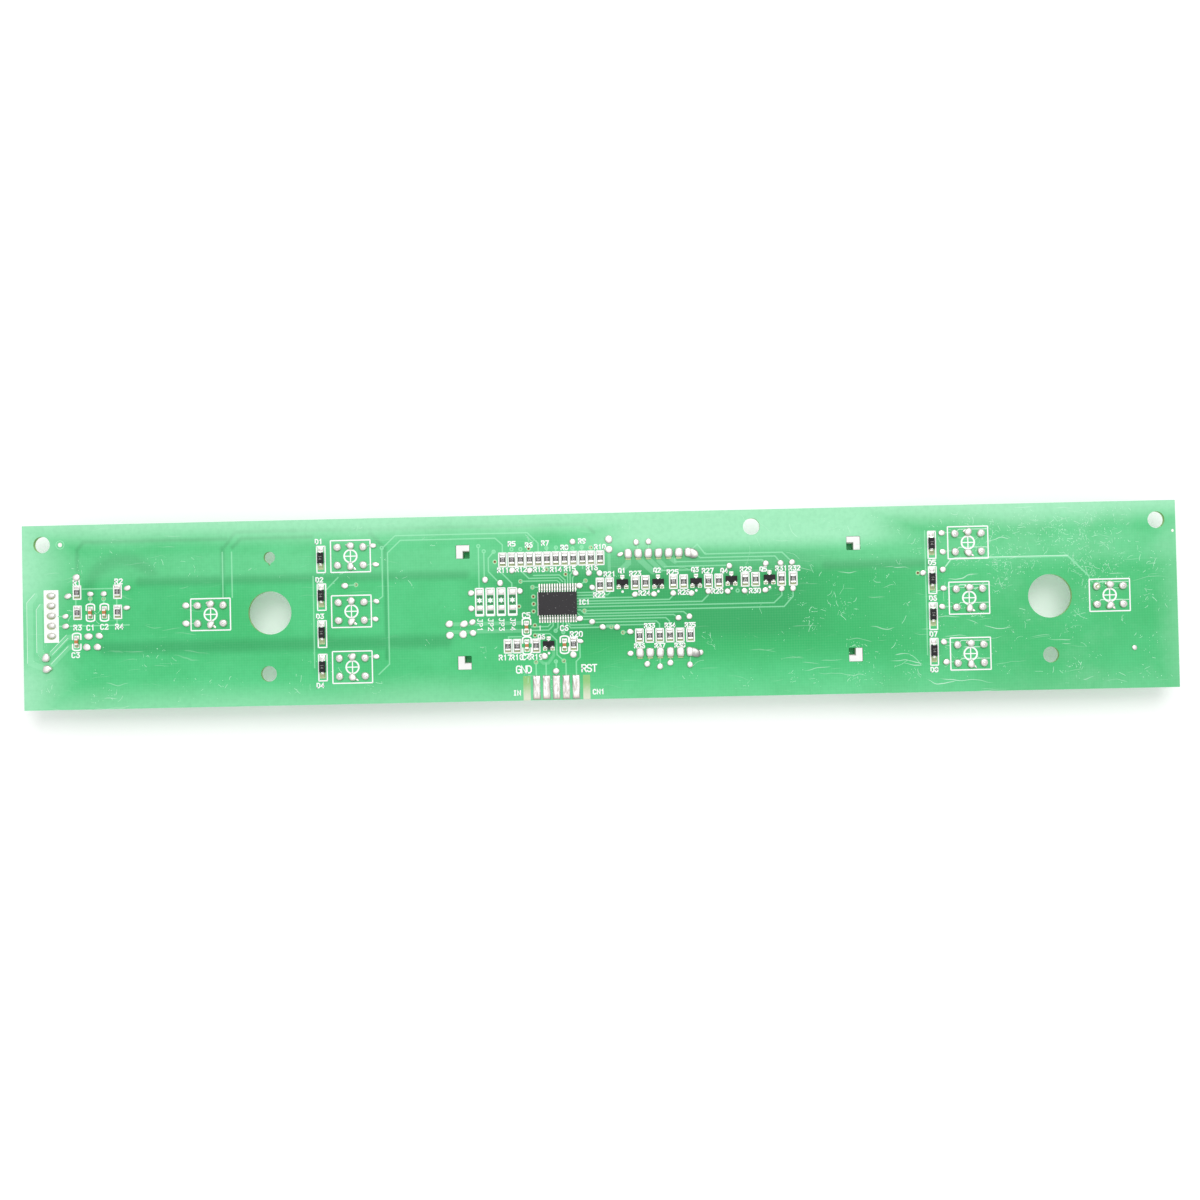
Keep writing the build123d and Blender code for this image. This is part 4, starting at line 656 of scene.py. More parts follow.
BY_NODE = {
    "circuit_board": "board", "edge_contacts": "tin", "microcontroller_body": "moulding", "microcontroller_leads": "tin",
    "transistor_bodies": "moulding", "transistor_leads": "tin", "resistor_bodies": "ceramic", "resistor_ends": "tin",
    "chip_capacitor_bodies": "tan", "chip_capacitor_ends": "tin", "diode_bodies": "moulding", "diode_leads": "tin",
    "display_housing": "white", "display_face": "film", "display_substrate": "pale", "display_leds": "chip", "display_pins": "tin",
    "connector_housing": "nylon", "connector_pins": "tin", "electrolytic_can": "sleeve", "electrolytic_seal": "rubber",
    "electrolytic_winding": "paper", "electrolytic_leads": "tin", "switch_bases": "blackp", "switch_covers": "steel",
    "switch_domes": "steel", "switch_terminals": "tin", "switch_leds": "lens", "switch_led_leads": "tin",
}  # fmt: skip
speckled = Mat("dusty_epoxy", (0.016, 0.014, 0.017), 0.5, Specular_IOR_Level=0.35)
dust = speckled.remap(speckled.noise(2.6, 1.0), 0.72, 0.76)
grain = speckled.noise(9.0, 4.0, 0.6)
speckled.color(speckled.mix(dust, (0.016, 0.014, 0.017), (0.55, 0.55, 0.55)))
speckled.rough(speckled.remap(grain, 0.3, 0.7, 0.42, 0.58))
speckled.bump(grain, 0.3, 0.015)
M["dusty"] = speckled.m
BY_NODE["microcontroller_body"] = "dusty"
for node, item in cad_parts.items():
    key = BY_NODE.get(node) or ("cap" if node.startswith("button_cap") else "solder")
    if not item.material_slots:
        item.data.materials.append(M[key])
    for s in item.material_slots:
        s.material = M[key]

# ------------------------------------------------------------------ tracks under the mask
bag = Bag()
for i, (w, line) in enumerate(FRONT):
    if w < 0.7:
        stroke(bag, line, max(w, 0.37), TOP, TOP + 0.045 + 0.0011 * (i % 13), bevel=0.05)
bag.make("front_tracks", [M["track"]])
bag = Bag()
for i, (w, line) in enumerate(FRONT):
    if w >= 0.7:
        stroke(bag, line, w, TOP, TOP + 0.032 + 0.0009 * (i % 11), bevel=0.08)
bag.make("broad_tracks", [M["wide"]])
# painted highlights along the shoulders of the broad tracks at the left end, and lamp tracks inside the switch outlines
# in the same pale colour
bag = Bag()
for pts in ([(-141.9, 6.2), (-144.0, 3.9), (-144.0, -11.4)], [(-140.6, 3.5), (-141.6, 2.1), (-141.6, -8.7)],
            [(-138.2, -8.6), (-134.0, -4.4)], [(-137.7, -9.3), (-133.6, -5.2)], [(-138.0, -11.7), (-133.6, -7.3)],
            [(87.6, 8.0), (89.0, 9.8), (90.1, 10.1), (118.1, 10.1)]):  # fmt: skip
    stroke(bag, pts, 0.16, TOP, TOP + 0.06, bevel=0.02)
for x, y in SWITCHES[4:]:
    stroke(bag, [(x - 3.2, y + 2.4), (x - 2.2, y + 3.35), (x + 4.7, y + 3.3)], 0.17, TOP, TOP + 0.06, bevel=0.02)
    stroke(bag, [(x - 3.2, y - 2.2), (x - 2.2, y - 1.15), (x + 4.7, y - 1.2)], 0.17, TOP, TOP + 0.06, bevel=0.02)
bag.make("track_highlights_and_lamp_tracks", [M["bright"]])

bag = Bag()
for i, (w, line) in enumerate(BACK):
    stroke(bag, line, w, BOT, BOT - 0.04 - 0.002 * i, bevel=0.06)
bag.make("rear_tracks", [M["wide"]])

# ------------------------------------------------------------------ white print
Z0, Z1 = TOP + 0.045, TOP + 0.075
pr = Bag()


def line(pts, w=0.35, closed=False):
    # each stroke lies a hair above the last few, so crossing strokes never share a face
    stroke(pr, pts, w, TOP, Z1 + 0.0015 * (len(pr.f) % 17), closed=closed, bevel=0.02)


def frame_box(x0, y0, x1, y1, w=0.32, r=0.06):
    line(rect(x0 + w / 2, y0 + w / 2, x1 - w / 2, y1 - w / 2, r), w, True)


GLYPHS = {
    "0": [[(1, 0), (0, 1), (0, 5), (1, 6), (3, 6), (4, 5), (4, 1), (3, 0), (1, 0)]],
    "1": [[(1, 4.8), (2.2, 6), (2.2, 0)]],
    "2": [[(0, 5), (1, 6), (3, 6), (4, 5), (4, 4), (0, 0), (4, 0)]],
    "3": [[(0, 6), (4, 6), (2, 3.6), (3, 3.6), (4, 2.6), (4, 1), (3, 0), (1, 0), (0, 1)]],
    "4": [[(3, 0), (3, 6), (0, 2), (4, 2)]],
    "5": [[(4, 6), (0, 6), (0, 3.4), (3, 3.4), (4, 2.6), (4, 1), (3, 0), (0, 0)]],
    "6": [[(3.6, 6), (1.5, 6), (0, 4), (0, 1), (1, 0), (3, 0), (4, 1), (4, 2.4), (3, 3.4), (0, 3.4)]],
    "7": [[(0, 6), (4, 6), (1.5, 0)]],
    "8": [[(1, 3.3), (0, 4.2), (0, 5), (1, 6), (3, 6), (4, 5), (4, 4.2), (3, 3.3), (1, 3.3), (0, 2.4), (0, 1), (1, 0), (3, 0), (4, 1), (4, 2.4), (3, 3.3)]],
    "9": [[(0.5, 0), (2.5, 0), (4, 2), (4, 5), (3, 6), (1, 6), (0, 5), (0, 3.6), (1, 2.6), (4, 2.6)]],
    "R": [[(0, 0), (0, 6), (3, 6), (4, 5), (4, 4), (3, 3), (0, 3)], [(2, 3), (4, 0)]],
    "C": [[(4, 5), (3, 6), (1, 6), (0, 5), (0, 1), (1, 0), (3, 0), (4, 1)]],
    "D": [[(0, 0), (0, 6), (2.6, 6), (4, 4.6), (4, 1.4), (2.6, 0), (0, 0)]],
    "Q": [[(1, 0), (0, 1), (0, 5), (1, 6), (3, 6), (4, 5), (4, 1), (3, 0), (1, 0)], [(2.5, 1.6), (4.2, -0.4)]],
    "J": [[(1, 6), (4, 6)], [(3, 6), (3, 1), (2, 0), (1, 0), (0, 1)]],
    "P": [[(0, 0), (0, 6), (3, 6), (4, 5), (4, 4), (3, 3), (0, 3)]],
    "G": [[(4, 5), (3, 6), (1, 6), (0, 5), (0, 1), (1, 0), (3, 0), (4, 1), (4, 3), (2.2, 3)]],
    "S": [[(4, 5), (3, 6), (1, 6), (0, 5), (0, 4), (1, 3.2), (3, 2.8), (4, 2), (4, 1), (3, 0), (1, 0), (0, 1)]],
    "T": [[(0, 6), (4, 6)], [(2, 6), (2, 0)]],
    "N": [[(0, 0), (0, 6), (4, 0), (4, 6)]],
    "V": [[(0, 6), (2, 0), (4, 6)]],
    "I": [[(2, 0), (2, 6)], [(1, 0), (3, 0)], [(1, 6), (3, 6)]],
    "U": [[(0, 6), (0, 1), (1, 0), (3, 0), (4, 1), (4, 6)]],
}  # fmt: skip


def label(text, cx, cy, h=1.2, w=0.31, turn=0.0, track=1.55):
    s = h / 6
    adv = 3.6 * s * track
    x0 = -(adv * (len(text) - 1) + 4 * s) / 2
    c, sn = math.cos(turn), math.sin(turn)
    for k, ch in enumerate(text):
        for path in GLYPHS[ch]:
            pts = []
            for gx, gy in path:
                x, y = x0 + k * adv + gx * s * 0.92, gy * s - h / 2
                pts.append((cx + x * c - y * sn, cy + x * sn + y * c))
            line(pts, w)


# resistor outlines, with a patch of painted shade under each resistor
shade_bag = Bag()
for x, y in RESISTORS:
    dy = 0.05 if y > 11 else 0.0
    prism(shade_bag, rect(x - 0.92, y - 1.62, x + 0.92, y + 1.62), TOP, TOP + 0.006)
    frame_box(x - 1.1, y - 1.83 - dy, x + 1.1, y + 1.83 + dy, 0.32)
# capacitor outlines: two facing brackets
for x, y in CAPS:
    for s in (1, -1):
        pts = []
        for k in range(9):
            a = math.radians(180 * k / 8)
            pts.append((x + 1.05 * math.cos(a), y + s * (1.75 + 0.45 * math.sin(a))))
        line([(x + 1.05, y + s * 0.62)] + pts + [(x - 1.05, y + s * 0.62)], 0.38)
# diode outlines
for b in DIODE_BOXES:
    frame_box(*b, 0.33)
# switch outlines with a crossed circle
for x, y in SWITCHES:
    frame_box(x - 5.17, y - 4.17, x + 5.17, y + 4.17, 0.33, 0.12)
    line(ell(x, y, 1.6, 1.6, 28), 0.42, True)
    line([(x - 1.6, y), (x + 1.6, y)], 0.3)
    line([(x, y - 1.6), (x, y + 1.6)], 0.3)
# jumper outlines with a six-pointed mark, and strips of painted shade beside the pads
for a, b in JUMPERS:
    cx = (a + b) / 2
    frame_box(a, -2.0, b, 5.2, 0.36)
    prism(pr, rect(a + 0.2, -2.0, b - 0.2, -1.42), TOP, Z1)
    for y0, y1 in ((2.6, 3.15), (1.0, 1.4), (-1.25, -0.75)):
        prism(shade_bag, rect(a + 0.36, y0, b - 0.36, y1), TOP, TOP + 0.01)
    star = [((0.78 if k % 2 == 0 else 0.42) * math.sin(math.pi * k / 6) + cx, (0.78 if k % 2 == 0 else 0.42) * math.cos(math.pi * k / 6) + 2.0) for k in range(12)]
    prism(pr, star[::-1], TOP, Z1)
# block behind the header's joints
prism(pr, rect(-139.65, -6.3, -135.9, 7.0, 0.1), TOP, TOP + 0.03)
# chip edge line and first-lead mark
line([(-14.62, -2.0), (-14.62, 3.7)], 0.22)
line([(-14.2, -5.75), (-14.2, -4.7)], 0.22)
# transistor index dots, and painted shadow under each body: a black point between the lower legs and a darker patch
# around them
leg_shadow_bag = Bag()
for x, y in TRANSISTORS:
    prism(leg_shadow_bag, [(x - 0.42, y - 0.5), (x - 0.3, y - 1.25), (x + 0.05, y - 1.6), (x + 0.36, y - 1.2), (x + 0.42, y - 0.5)], TOP, TOP + 0.012)
    prism(shade_bag, [(x - 1.4, y - 1.75), (x + 1.4, y - 1.75), (x + 1.4, y - 0.4), (x - 1.4, y - 0.4)], TOP, TOP + 0.006)
    prism(pr, ell(x, y - 2.45, 0.33, 0.33, 14), TOP, Z1)

# plain class letters with the layout's own running numbers
num = 1
for x, y in ((-131.1, 8.75), (-120.5, 8.85), (-131.1, -2.6), (-120.5, -2.6)):
    label(f"R{num}", x, y)
    num += 1
for k, (x, y) in enumerate(((-127.8, -2.7), (-124.3, -2.55), (-131.7, -9.55))):
    label(f"C{k + 1}", x, y)
for x, y in ((-20.9, 16.1), (-16.6, 15.7), (-12.5, 16.1), (-7.65, 14.9), (-3.2, 16.4), (1.3, 14.85),
             (-23.2, 9.5), (-18.65, 9.6), (-14.1, 9.5), (-9.9, 9.4), (-6.4, 9.5), (-0.85, 9.65)):  # fmt: skip
    label(f"R{num}", x, y, 1.1)
    num += 1
for x, y in ((-23.1, -12.45), (-20.1, -12.45), (-15.2, -12.45), (-5.1, -6.95)):
    label(f"R{num}", x, y)
    num += 1
for k, (x, y) in enumerate(((-17.8, -12.5), (-17.6, -1.95), (-8.1, -5.35))):
    label(f"C{k + 4}", x, y)
for x, y in ((3.55, 7.95), (0.85, 2.75), (10.0, 7.95), (12.2, 3.0), (19.4, 8.1), (22.1, 3.0), (28.2, 8.25), (30.5, 3.1),
             (37.75, 8.4), (39.9, 3.0), (46.6, 8.45), (49.9, 8.45)):  # fmt: skip
    label(f"R{num}", x, y, 1.1)
    num += 1
for k, (x, y) in enumerate(((6.65, 8.75), (15.5, 8.65), (25.0, 8.6), (32.3, 8.2), (42.1, 8.35), (-13.9, -7.45))):
    label(f"Q{k + 1}", x, y, 1.05)
for x, y in ((13.3, -5.2), (18.45, -5.2), (23.5, -5.2), (10.7, -10.25), (15.8, -10.25), (20.8, -10.25)):
    label(f"R{num}", x, y, 1.0)
    num += 1
for k, (x, y) in enumerate(((-69.6, 17.75), (-69.6, 8.1), (-69.6, -1.1), (-69.8, -18.5), (84.3, 9.05), (84.3, 0.1), (84.2, -8.85), (84.2, -17.75))):
    label(f"D{k + 1}", x, y, 1.1)
for k, (a, b) in enumerate(JUMPERS):
    label(f"JP{k + 1}", (a + b) / 2, -4.15, 1.2, 0.24, -math.pi / 2)
label("GND", -18.45, -15.55, 1.72, 0.34, track=1.28)
label("RST", -2.0, -15.55, 1.72, 0.34, track=1.28)
label("IC1", -3.0, 1.05, 1.05)
label("IN", -20.3, -21.4, 1.1)
label("CN1", 0.2, -21.5, 1.1)
# painted shade along the chip's two rows of leads
for y0, y1 in ((3.95, 5.72), (-3.8, -2.2)):
    prism(shade_bag, rect(-14.4, y0, -4.9, y1), TOP, TOP + 0.006)
pr.make("white_print", [M["print"]])
shade_bag.make("painted_shade_patches", [M["painted_shade"]])
leg_shadow_bag.make("painted_leg_shadows", [M["blackp"]])

# ------------------------------------------------------------------ bare pads, fillets and chip detail
pads = Bag()
fil = Bag()
over = Bag()
code_bag = Bag()
low = Bag()
codes = random.Random(11)


def fillet(x0, x1, y0, y1, h, toward):
    """A slope of solder from a chip's end down to the end of its pad, between x0 and x1."""
    n = 6
    verts, faces = [], []
    for i in range(n + 1):
        t = i / n
        y = y0 + (y1 - y0) * t
        z = TOP + 0.05 + (h - 0.05) * (1 - t) ** 1.8
        pinch = 0.10 * t * t
        for j in range(5):
            u = j / 4
            side = math.sin(math.pi * u)
            verts.append((x0 + pinch + (x1 - x0 - 2 * pinch) * u, y, TOP + (z - TOP) * (0.35 + 0.65 * side ** 0.5)))
    for i in range(n):
        for j in range(4):
            a = i * 5 + j
            q = (a, a + 1, a + 6, a + 5)
            faces.append(q if toward < 0 else tuple(reversed(q)))
    base = len(verts)
    verts += [(x0, y0, TOP), (x1, y0, TOP), (x1, y1, TOP), (x0, y1, TOP)]
    last = n * 5
    faces += [tuple([base + 3, base + 2] + [last + j for j in (4, 3, 2, 1, 0)])]
    faces += [tuple([base] + [i * 5 for i in range(n + 1)] + [base + 3]), tuple([base + 1] + [i * 5 + 4 for i in range(n + 1)] + [base + 2])]
    # fillets at a chip's lower end go to the olive copy: painted shade on the end away from the key light
    (fil if toward > 0 or x1 - x0 < 0.5 else low).add(verts, faces, True)


# each chip's upper pad is bright tin and its lower pad the olive copy: painted shade
for x, y in RESISTORS:
    for s in (1, -1):
        prism(pads if s > 0 else low, rect(x - 0.68, min(y + s * 0.72, y + s * 1.55), x + 0.68, max(y + s * 0.72, y + s * 1.55), 0.12), TOP, TOP + 0.04)
        fillet(x - 0.62, x + 0.62, y + s * 0.98, y + s * 1.5, 0.42, s)
    prism(over, rect(x - 0.6, y - 0.66, x + 0.6, y + 0.66, 0.06), TOP + 0.45, TOP + 0.52, 0.03)
    for k, ch in enumerate(codes.choice(("102", "103", "472", "101", "331"))):
        for path in GLYPHS[ch]:
            pts = [(x - 0.3 + gy * 0.1, y + 0.42 - k * 0.42 - (gx - 2) * 0.065) for gx, gy in path]
            stroke(code_bag, pts, 0.075, TOP + 0.51, TOP + 0.535 + 0.001 * k)
for x, y in CAPS:
    for s in (1, -1):
        prism(pads, rect(x - 0.62, min(y + s * 0.55, y + s * 1.55), x + 0.62, max(y + s * 0.55, y + s * 1.55), 0.12), TOP, TOP + 0.04)
        fillet(x - 0.5, x + 0.5, y + s * 0.78, y + s * 1.48, 0.55, s)
code_bag.slot = 1
for k, (x, y) in enumerate(DIODES):
    for i, ch in enumerate("14"):
        for path in GLYPHS[ch]:
            pts = [(x - 0.32 + gy * 0.11, y + 0.35 - i * 0.6 - (gx - 2) * 0.08) for gx, gy in path]
            stroke(code_bag, pts, 0.09, TOP + 1.1, TOP + 1.121)
    for s in (1, -1):
        # lower pad in the olive copy: painted shade
        prism(pads if s > 0 else low, rect(x - 0.7, min(y + s * 1.5, y + s * 2.95), x + 0.7, max(y + s * 1.5, y + s * 2.95), 0.12), TOP, TOP + 0.04)
        fillet(x - 0.6, x + 0.6, y + s * 1.88, y + s * 2.85, 0.4, s)
for x, y in TRANSISTORS:
    for dx, s in ((0, 1), (-0.95, -1), (0.95, -1)):
        prism(pads, rect(x + dx - 0.5, min(y + s * 0.9, y + s * 1.75), x + dx + 0.5, max(y + s * 0.9, y + s * 1.75), 0.1), TOP, TOP + 0.04)
        fillet(x + dx - 0.42, x + dx + 0.42, y + s * 1.22, y + s * 1.68, 0.3, s)
for k in range(15):
    x = -9.65 + 0.65 * (k - 7)
    for s, far in ((1, 5.85), (-1, -3.95)):
        near = 0.85 + s * 3.2
        prism(pads, rect(x - 0.17, min(near, far), x + 0.17, max(near, far), 0.08), TOP, TOP + 0.04)
        fillet(x - 0.15, x + 0.15, 0.85 + s * 3.84, far - s * 0.1, 0.16, s)
for a, b in JUMPERS:
    for y0, y1 in ((3.35, 4.75), (-0.5, 0.75)):
        prism(fil, rect(a + 0.33, y0 - 0.08, b - 0.33, y1 + 0.02, 0.12), TOP, TOP + 0.1, 0.12, True)
# fiducial with its ring
prism(pads, ell(-135.3, 18.4, 0.55, 0.55, 20), TOP, TOP + 0.05)

prism(pads, ell(144.2, 15.7, 0.3, 0.36, 14), TOP, TOP + 0.03)
pads.make("chip_pads", [M["pad"]])
fil.make("solder_fillets", [M["solder"]])
over.make("resistor_overcoats", [M["overcoat"]])
code_bag.make("resistor_codes", [M["print"], M["etch"]])
low.make("lower_fillets_with_painted_shade", [M["flux_and_painted_shade"]])

# via rings, each with a dark patch of painted shade for its hole
bag = Bag()
for x, y in VIAS:
    bag.slot = 2
    ring(bag, ell(x, y, 0.62, 0.62, 20), ell(x, y, 0.4, 0.4, 20), TOP, TOP + 0.04)
    bag.slot = 0
    ring(bag, ell(x, y, 0.4, 0.4, 20), ell(x, y, 0.27, 0.27, 20), TOP, TOP + 0.05)
    bag.slot = 1
    prism(bag, ell(x, y, 0.27, 0.27, 20), TOP, TOP + 0.012)
bag.make("via_rings", [M["barrel"], M["hole_shade"], M["track"]])
bag = Bag()
ring(bag, ell(-135.3, 18.4, 1.15, 1.15, 28), ell(-135.3, 18.4, 0.92, 0.92, 28), TOP, TOP + 0.04)
for x, y in GREEN_VIAS:
    ring(bag, ell(x, y, 0.55, 0.55, 20), ell(x, y, 0.22, 0.22, 20), TOP, TOP + 0.04)
bag.make("covered_vias", [M["track"]])

# ------------------------------------------------------------------ soldered joints and test pads
sol = Bag()
for i, (x, y, rx, ry) in enumerate(POINTS):
    r = random.Random(100 + i)
    tip = (r.uniform(-0.12, 0.12), r.uniform(-0.12, 0.12))
    if (x, y) in ((-4.2, 5.2), (-4.3, -3.05)):
        tip = (0.35, 0.0)
    dome(sol, x, y, rx, ry, r.uniform(0.42, 0.58), r.uniform(-0.3, 0.3), i, tip)
sol.make("test_pad_domes", [M["solder"]], replaces=["test_point_solder"])

sol = Bag()
for base, row in ((300, TOP_PINS), (320, BOTTOM_PINS)):
    for i, (x, y) in enumerate(row):
        last = i == len(row) - 1
        if last:
            dome(sol, x - 0.2, y + 0.06, 0.92, 1.22, 0.93, 0, base + i, (0.0, 0.1), 0.6, 0.03, 7, 24, 0.72)
            sol.slot = 2
            dome(sol, x + 0.75, y - 0.12, 1.65, 1.18, 0.86, -0.35, base + i + 7, (0.55, -0.15), 0.5, 0.06, 7, 24, 0.95)
            sol.slot = 0
        else:
            dome(sol, x, y + 0.06, 1.02, 1.24, 0.93, 0, base + i, (0.0, 0.12), 0.6, 0.03, 7, 24, 0.66)
            # olive strip below each joint: painted shade on the side away from the key light
            sol.slot = 1
            prism(sol, rect(x - 0.74, y - 1.5, x + 0.74, y - 0.85, 0.2), TOP, TOP + 0.2, 0.1)
            sol.slot = 0
sol.make("display_joints", [M["solder"], M["flux_and_painted_shade"], M["dull"]], replaces=["display_solder"])

sol = Bag()
for i, (x, y) in enumerate(HEADER_PINS):
    dome(sol, x + 0.14, y + 0.07, 0.98, 0.74, 0.93, 0, 340 + i, (0.05, 0.03), 0.6, 0.04)
    # olive crescent at the lower left of each joint: painted shade on the side away from the key light
    sol.slot = 1
    prism(sol, ell(x - 0.12, y - 0.08, 1.18, 0.9, 28), TOP, TOP + 0.2, 0.12)
    sol.slot = 0
sol.make("header_joints", [M["solder"], M["flux_and_painted_shade"]], replaces=["connector_solder"])
sol = Bag()
dome(sol, -139.1, -10.1, 1.1, 1.0, 0.93, 0.2, 351, (-0.25, 0.1), 0.6, 0.13)
dome(sol, -138.9, -12.9, 1.25, 0.95, 0.93, -0.2, 352, (-0.1, 0.0), 0.6, 0.13)
sol.make("capacitor_joints", [M["solder"]], replaces=["capacitor_solder"])

sol = Bag()
for i, (x, y) in enumerate(SWITCHES):
    r = random.Random(500 + i)
    for sx in (-1, 1):
        for sy in (-1, 1):
            dome(sol, x + sx * 3.25, y + sy * 2.27, 1.0, 1.0, r.uniform(0.85, 0.93), 0, r.randint(0, 999), (r.uniform(-0.1, 0.1), 0.05), 0.62, 0.035)
    dome(sol, x + 0.05, y + 2.65, 1.0, 0.95, 0.9, 0.3, r.randint(0, 999), (0.1, 0.05), 0.6, 0.06)
    dome(sol, x - 0.65, y + 3.0, 0.6, 0.3, 0.3, 0.5, r.randint(0, 999), (-0.1, 0.0), 0.5, 0.1)
    dome(sol, x, y - 2.52, 1.0, 0.95, 0.9, 0.6, r.randint(0, 999), (0.1, -0.1), 0.55, 0.11)
    dome(sol, x + 0.85, y - 3.0, 0.7, 0.28, 0.22, -0.7, r.randint(0, 999), (0.15, -0.15), 0.5, 0.15)
sol.slot = 1
for x, y in SWITCHES:
    for sx in (-1, 1):
        for sy in (-1, 1):
            px, py = x + sx * 3.25 + 0.04, y + sy * 2.27 - 0.03
            if x > 120 and sx < 0 < sy:
                # the one joint that didn't fill
                sol.slot = 2
                prism(sol, ell(px + 0.06, py - 0.02, 0.66, 0.58, 20, 0.4), TOP + 0.6, TOP + 0.96, 0.06)
                sol.slot = 0
                prism(sol, ell(px + 0.14, py - 0.1, 0.36, 0.3, 20, 0.4), TOP + 0.6, TOP + 0.99, 0.06)
                sol.slot = 1
            else:
                ring(sol, ell(px, py, 0.4, 0.35, 18, 0.4), ell(px, py, 0.29, 0.24, 18, 0.4), TOP + 0.7, TOP + 0.965)
sol.make("switch_joints", [M["solder"], M["pin_end"], M["flux_and_painted_shade"]], replaces=["switch_solder"])

# ------------------------------------------------------------------ contact fingers
finger = Mat("hand_tinned_finger", (0.85, 0.83, 0.80), 0.3, 0.75)
fx_, fy_, fz_ = finger.xyz()
stretch = finger.node("ShaderNodeMapping")
stretch.inputs["Scale"].default_value = (1.0, 0.22, 1.0)
finger.link(finger.obj, stretch.inputs["Vector"])
streak = finger.noise(1.6, 4.0, 0.65, stretch.outputs[0])
tone = finger.mix(finger.remap(streak, 0.38, 0.62), (0.50, 0.48, 0.44), (0.93, 0.90, 0.88))
foot = finger.math("MULTIPLY", finger.remap(finger.math("MULTIPLY", fy_, -1.0), 21.6, 23.2), finger.remap(streak, 0.4, 0.6))
finger.color(finger.mix(finger.math("MULTIPLY", foot, 0.6), tone, (0.42, 0.30, 0.18)))
finger.rough(finger.remap(streak, 0.3, 0.7, 0.45, 0.25))
finger.bump(streak, 0.6, 0.12)
fg = Bag()
for k in range(5):
    x = -15.35 + 2.48 * k
    r = random.Random(k)
    verts, faces = [], []
    nx, ny = 8, 16
    for j in range(ny + 1):
        for i in range(nx + 1):
            u, v = i / nx, j / ny
            edge = min(u, 1 - u) * 2
            z = 0.05 + 0.09 * min(1, edge * 2.2) ** 0.6 * min(1, min(v, 1 - v) * 9) ** 0.6
            wx = 0.92 * (1 + 0.03 * math.sin(v * 9 + k))
            verts.append((x + (u - 0.5) * 2 * wx, -17.15 - 6.0 * v, TOP + z))
    for j in range(ny):
        for i in range(nx):
            a = j * (nx + 1) + i
            faces.append((a, a + nx + 1, a + nx + 2, a + 1))
    rim = [i for i in range(nx + 1)] + [j * (nx + 1) + nx for j in range(1, ny + 1)]
    rim += [ny * (nx + 1) + i for i in range(nx - 1, -1, -1)] + [j * (nx + 1) for j in range(ny - 1, 0, -1)]
    o = len(verts)
    verts += [(verts[i][0], verts[i][1], TOP) for i in rim]
    m = len(rim)
    faces += [(rim[i], rim[(i + 1) % m], o + (i + 1) % m, o + i) for i in range(m)]
    fg.add(verts, faces, True)
fg.make("contact_fingers", [finger.m], replaces=["edge_contacts"])

win = Mat("bare_laminate", srgb(150, 190, 110), 0.5)
_x, _y, _z = win.xyz()
# painted light: the bare laminate is paler towards the board's lower edge, where light comes through it
t = win.remap(win.math("ADD", _y, win.math("MULTIPLY", win.noise(1.5), 1.5)), -22.3, -17.5)
win.color(win.mix(t, srgb(216, 222, 198), srgb(140, 196, 118)))
win.rough(win.remap(win.noise(3.0), 0.3, 0.7, 0.4, 0.6))
bag = Bag()
for x0, x1 in ((-18.7, -16.9), (-3.7, -1.9)):
    prism(bag, rect(x0, -23.34, x1, -17.2, 0.15), TOP, TOP + 0.008)
bag.make("mask_windows", [win.m])

under = Bag()


def below(pts, w, i=0, closed=True):
    stroke(under, pts, w, BOT, BOT - 0.03 - 0.002 * i, closed=closed, bevel=0.02)


for x, y in SWITCHES:
    below(rect(x - 4.4, y - 3.6, x + 4.4, y + 3.6, 0.15), 0.25)
below(ell(-139.0, -11.5, 3.6, 3.6, 40), 0.25)
below([(-143.2, -8.0), (-142.0, -8.0)], 0.22, 1, False)
below([(-142.6, -8.6), (-142.6, -7.4)], 0.22, 2, False)
below(rect(-141.2, -7.7, -134.2, 8.7, 0.15), 0.25, 3)
below(rect(-35.7, -16.0, 67.1, 16.7, 0.15), 0.25, 4)
under.make("component_side_print", [M["print"]])

# ------------------------------------------------------------------ display face graphics, seen from below
seg = Bag()
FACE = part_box("display_face")
fx, fy = (FACE[0][0] + FACE[1][0]) / 2 / MM, (FACE[0][1] + FACE[1][1]) / 2 / MM


def bar(cx, cy, length, width, upright):
    a, b = length / 2, width / 2
    flat = [(-a, 0), (-a + b, b), (a - b, b), (a, 0), (a - b, -b), (-a + b, -b)]
    pts = [(cx + y, cy + x) if upright else (cx + x, cy + y) for x, y in flat]
    if upright:
        pts.reverse()
    prism(seg, pts, 0.0, -0.03)


for dx in (-22.2, -9.0, 9.0, 22.2):
    for dy in (-7.1, 0, 7.1):
        bar(fx + dx, fy + dy, 6.7, 1.8, False)
    for sx in (-1, 1):
        for sy in (-1, 1):
            bar(fx + dx + sx * 3.6, fy + sy * 3.55, 6.6, 1.8, True)
for dy in (-3.0, 3.0):
    prism(seg, ell(fx, fy + dy, 0.9, 0.9, 20), 0.0, -0.03)
for sx in (-1, 1):
    for dy in (-8.0, 0.0, 8.0):
        prism(seg, ell(fx + sx * 36.0, fy + dy, 1.5, 1.5, 24), 0.0, -0.03)
for sx in (-1, 1):
    for dy in (-8.0, 0.0, 8.0):
        prism(seg, rect(fx + sx * 44.5 - 3.0, fy + dy - 1.0, fx + sx * 44.5 + 3.0, fy + dy + 1.0, 0.2), 0.0, -0.03)
seg.make("display_segments", [M["segment"]])

# ------------------------------------------------------------------ handling marks: fine scratches and dried flux specks
mark = Bag()
r = random.Random(41)


def density(x, y):
    d = 0.16 + 0.34 * max(0.0, min(1.0, (x - 10) / 40.0)) + 0.5 * max(0.0, min(1.0, (x - 80) / 30.0))
    if x < -105 and y < -5:
        d = 0.7
    if -25 < x < 8 and -17 < y < 12:
        d = 0.2
    return d


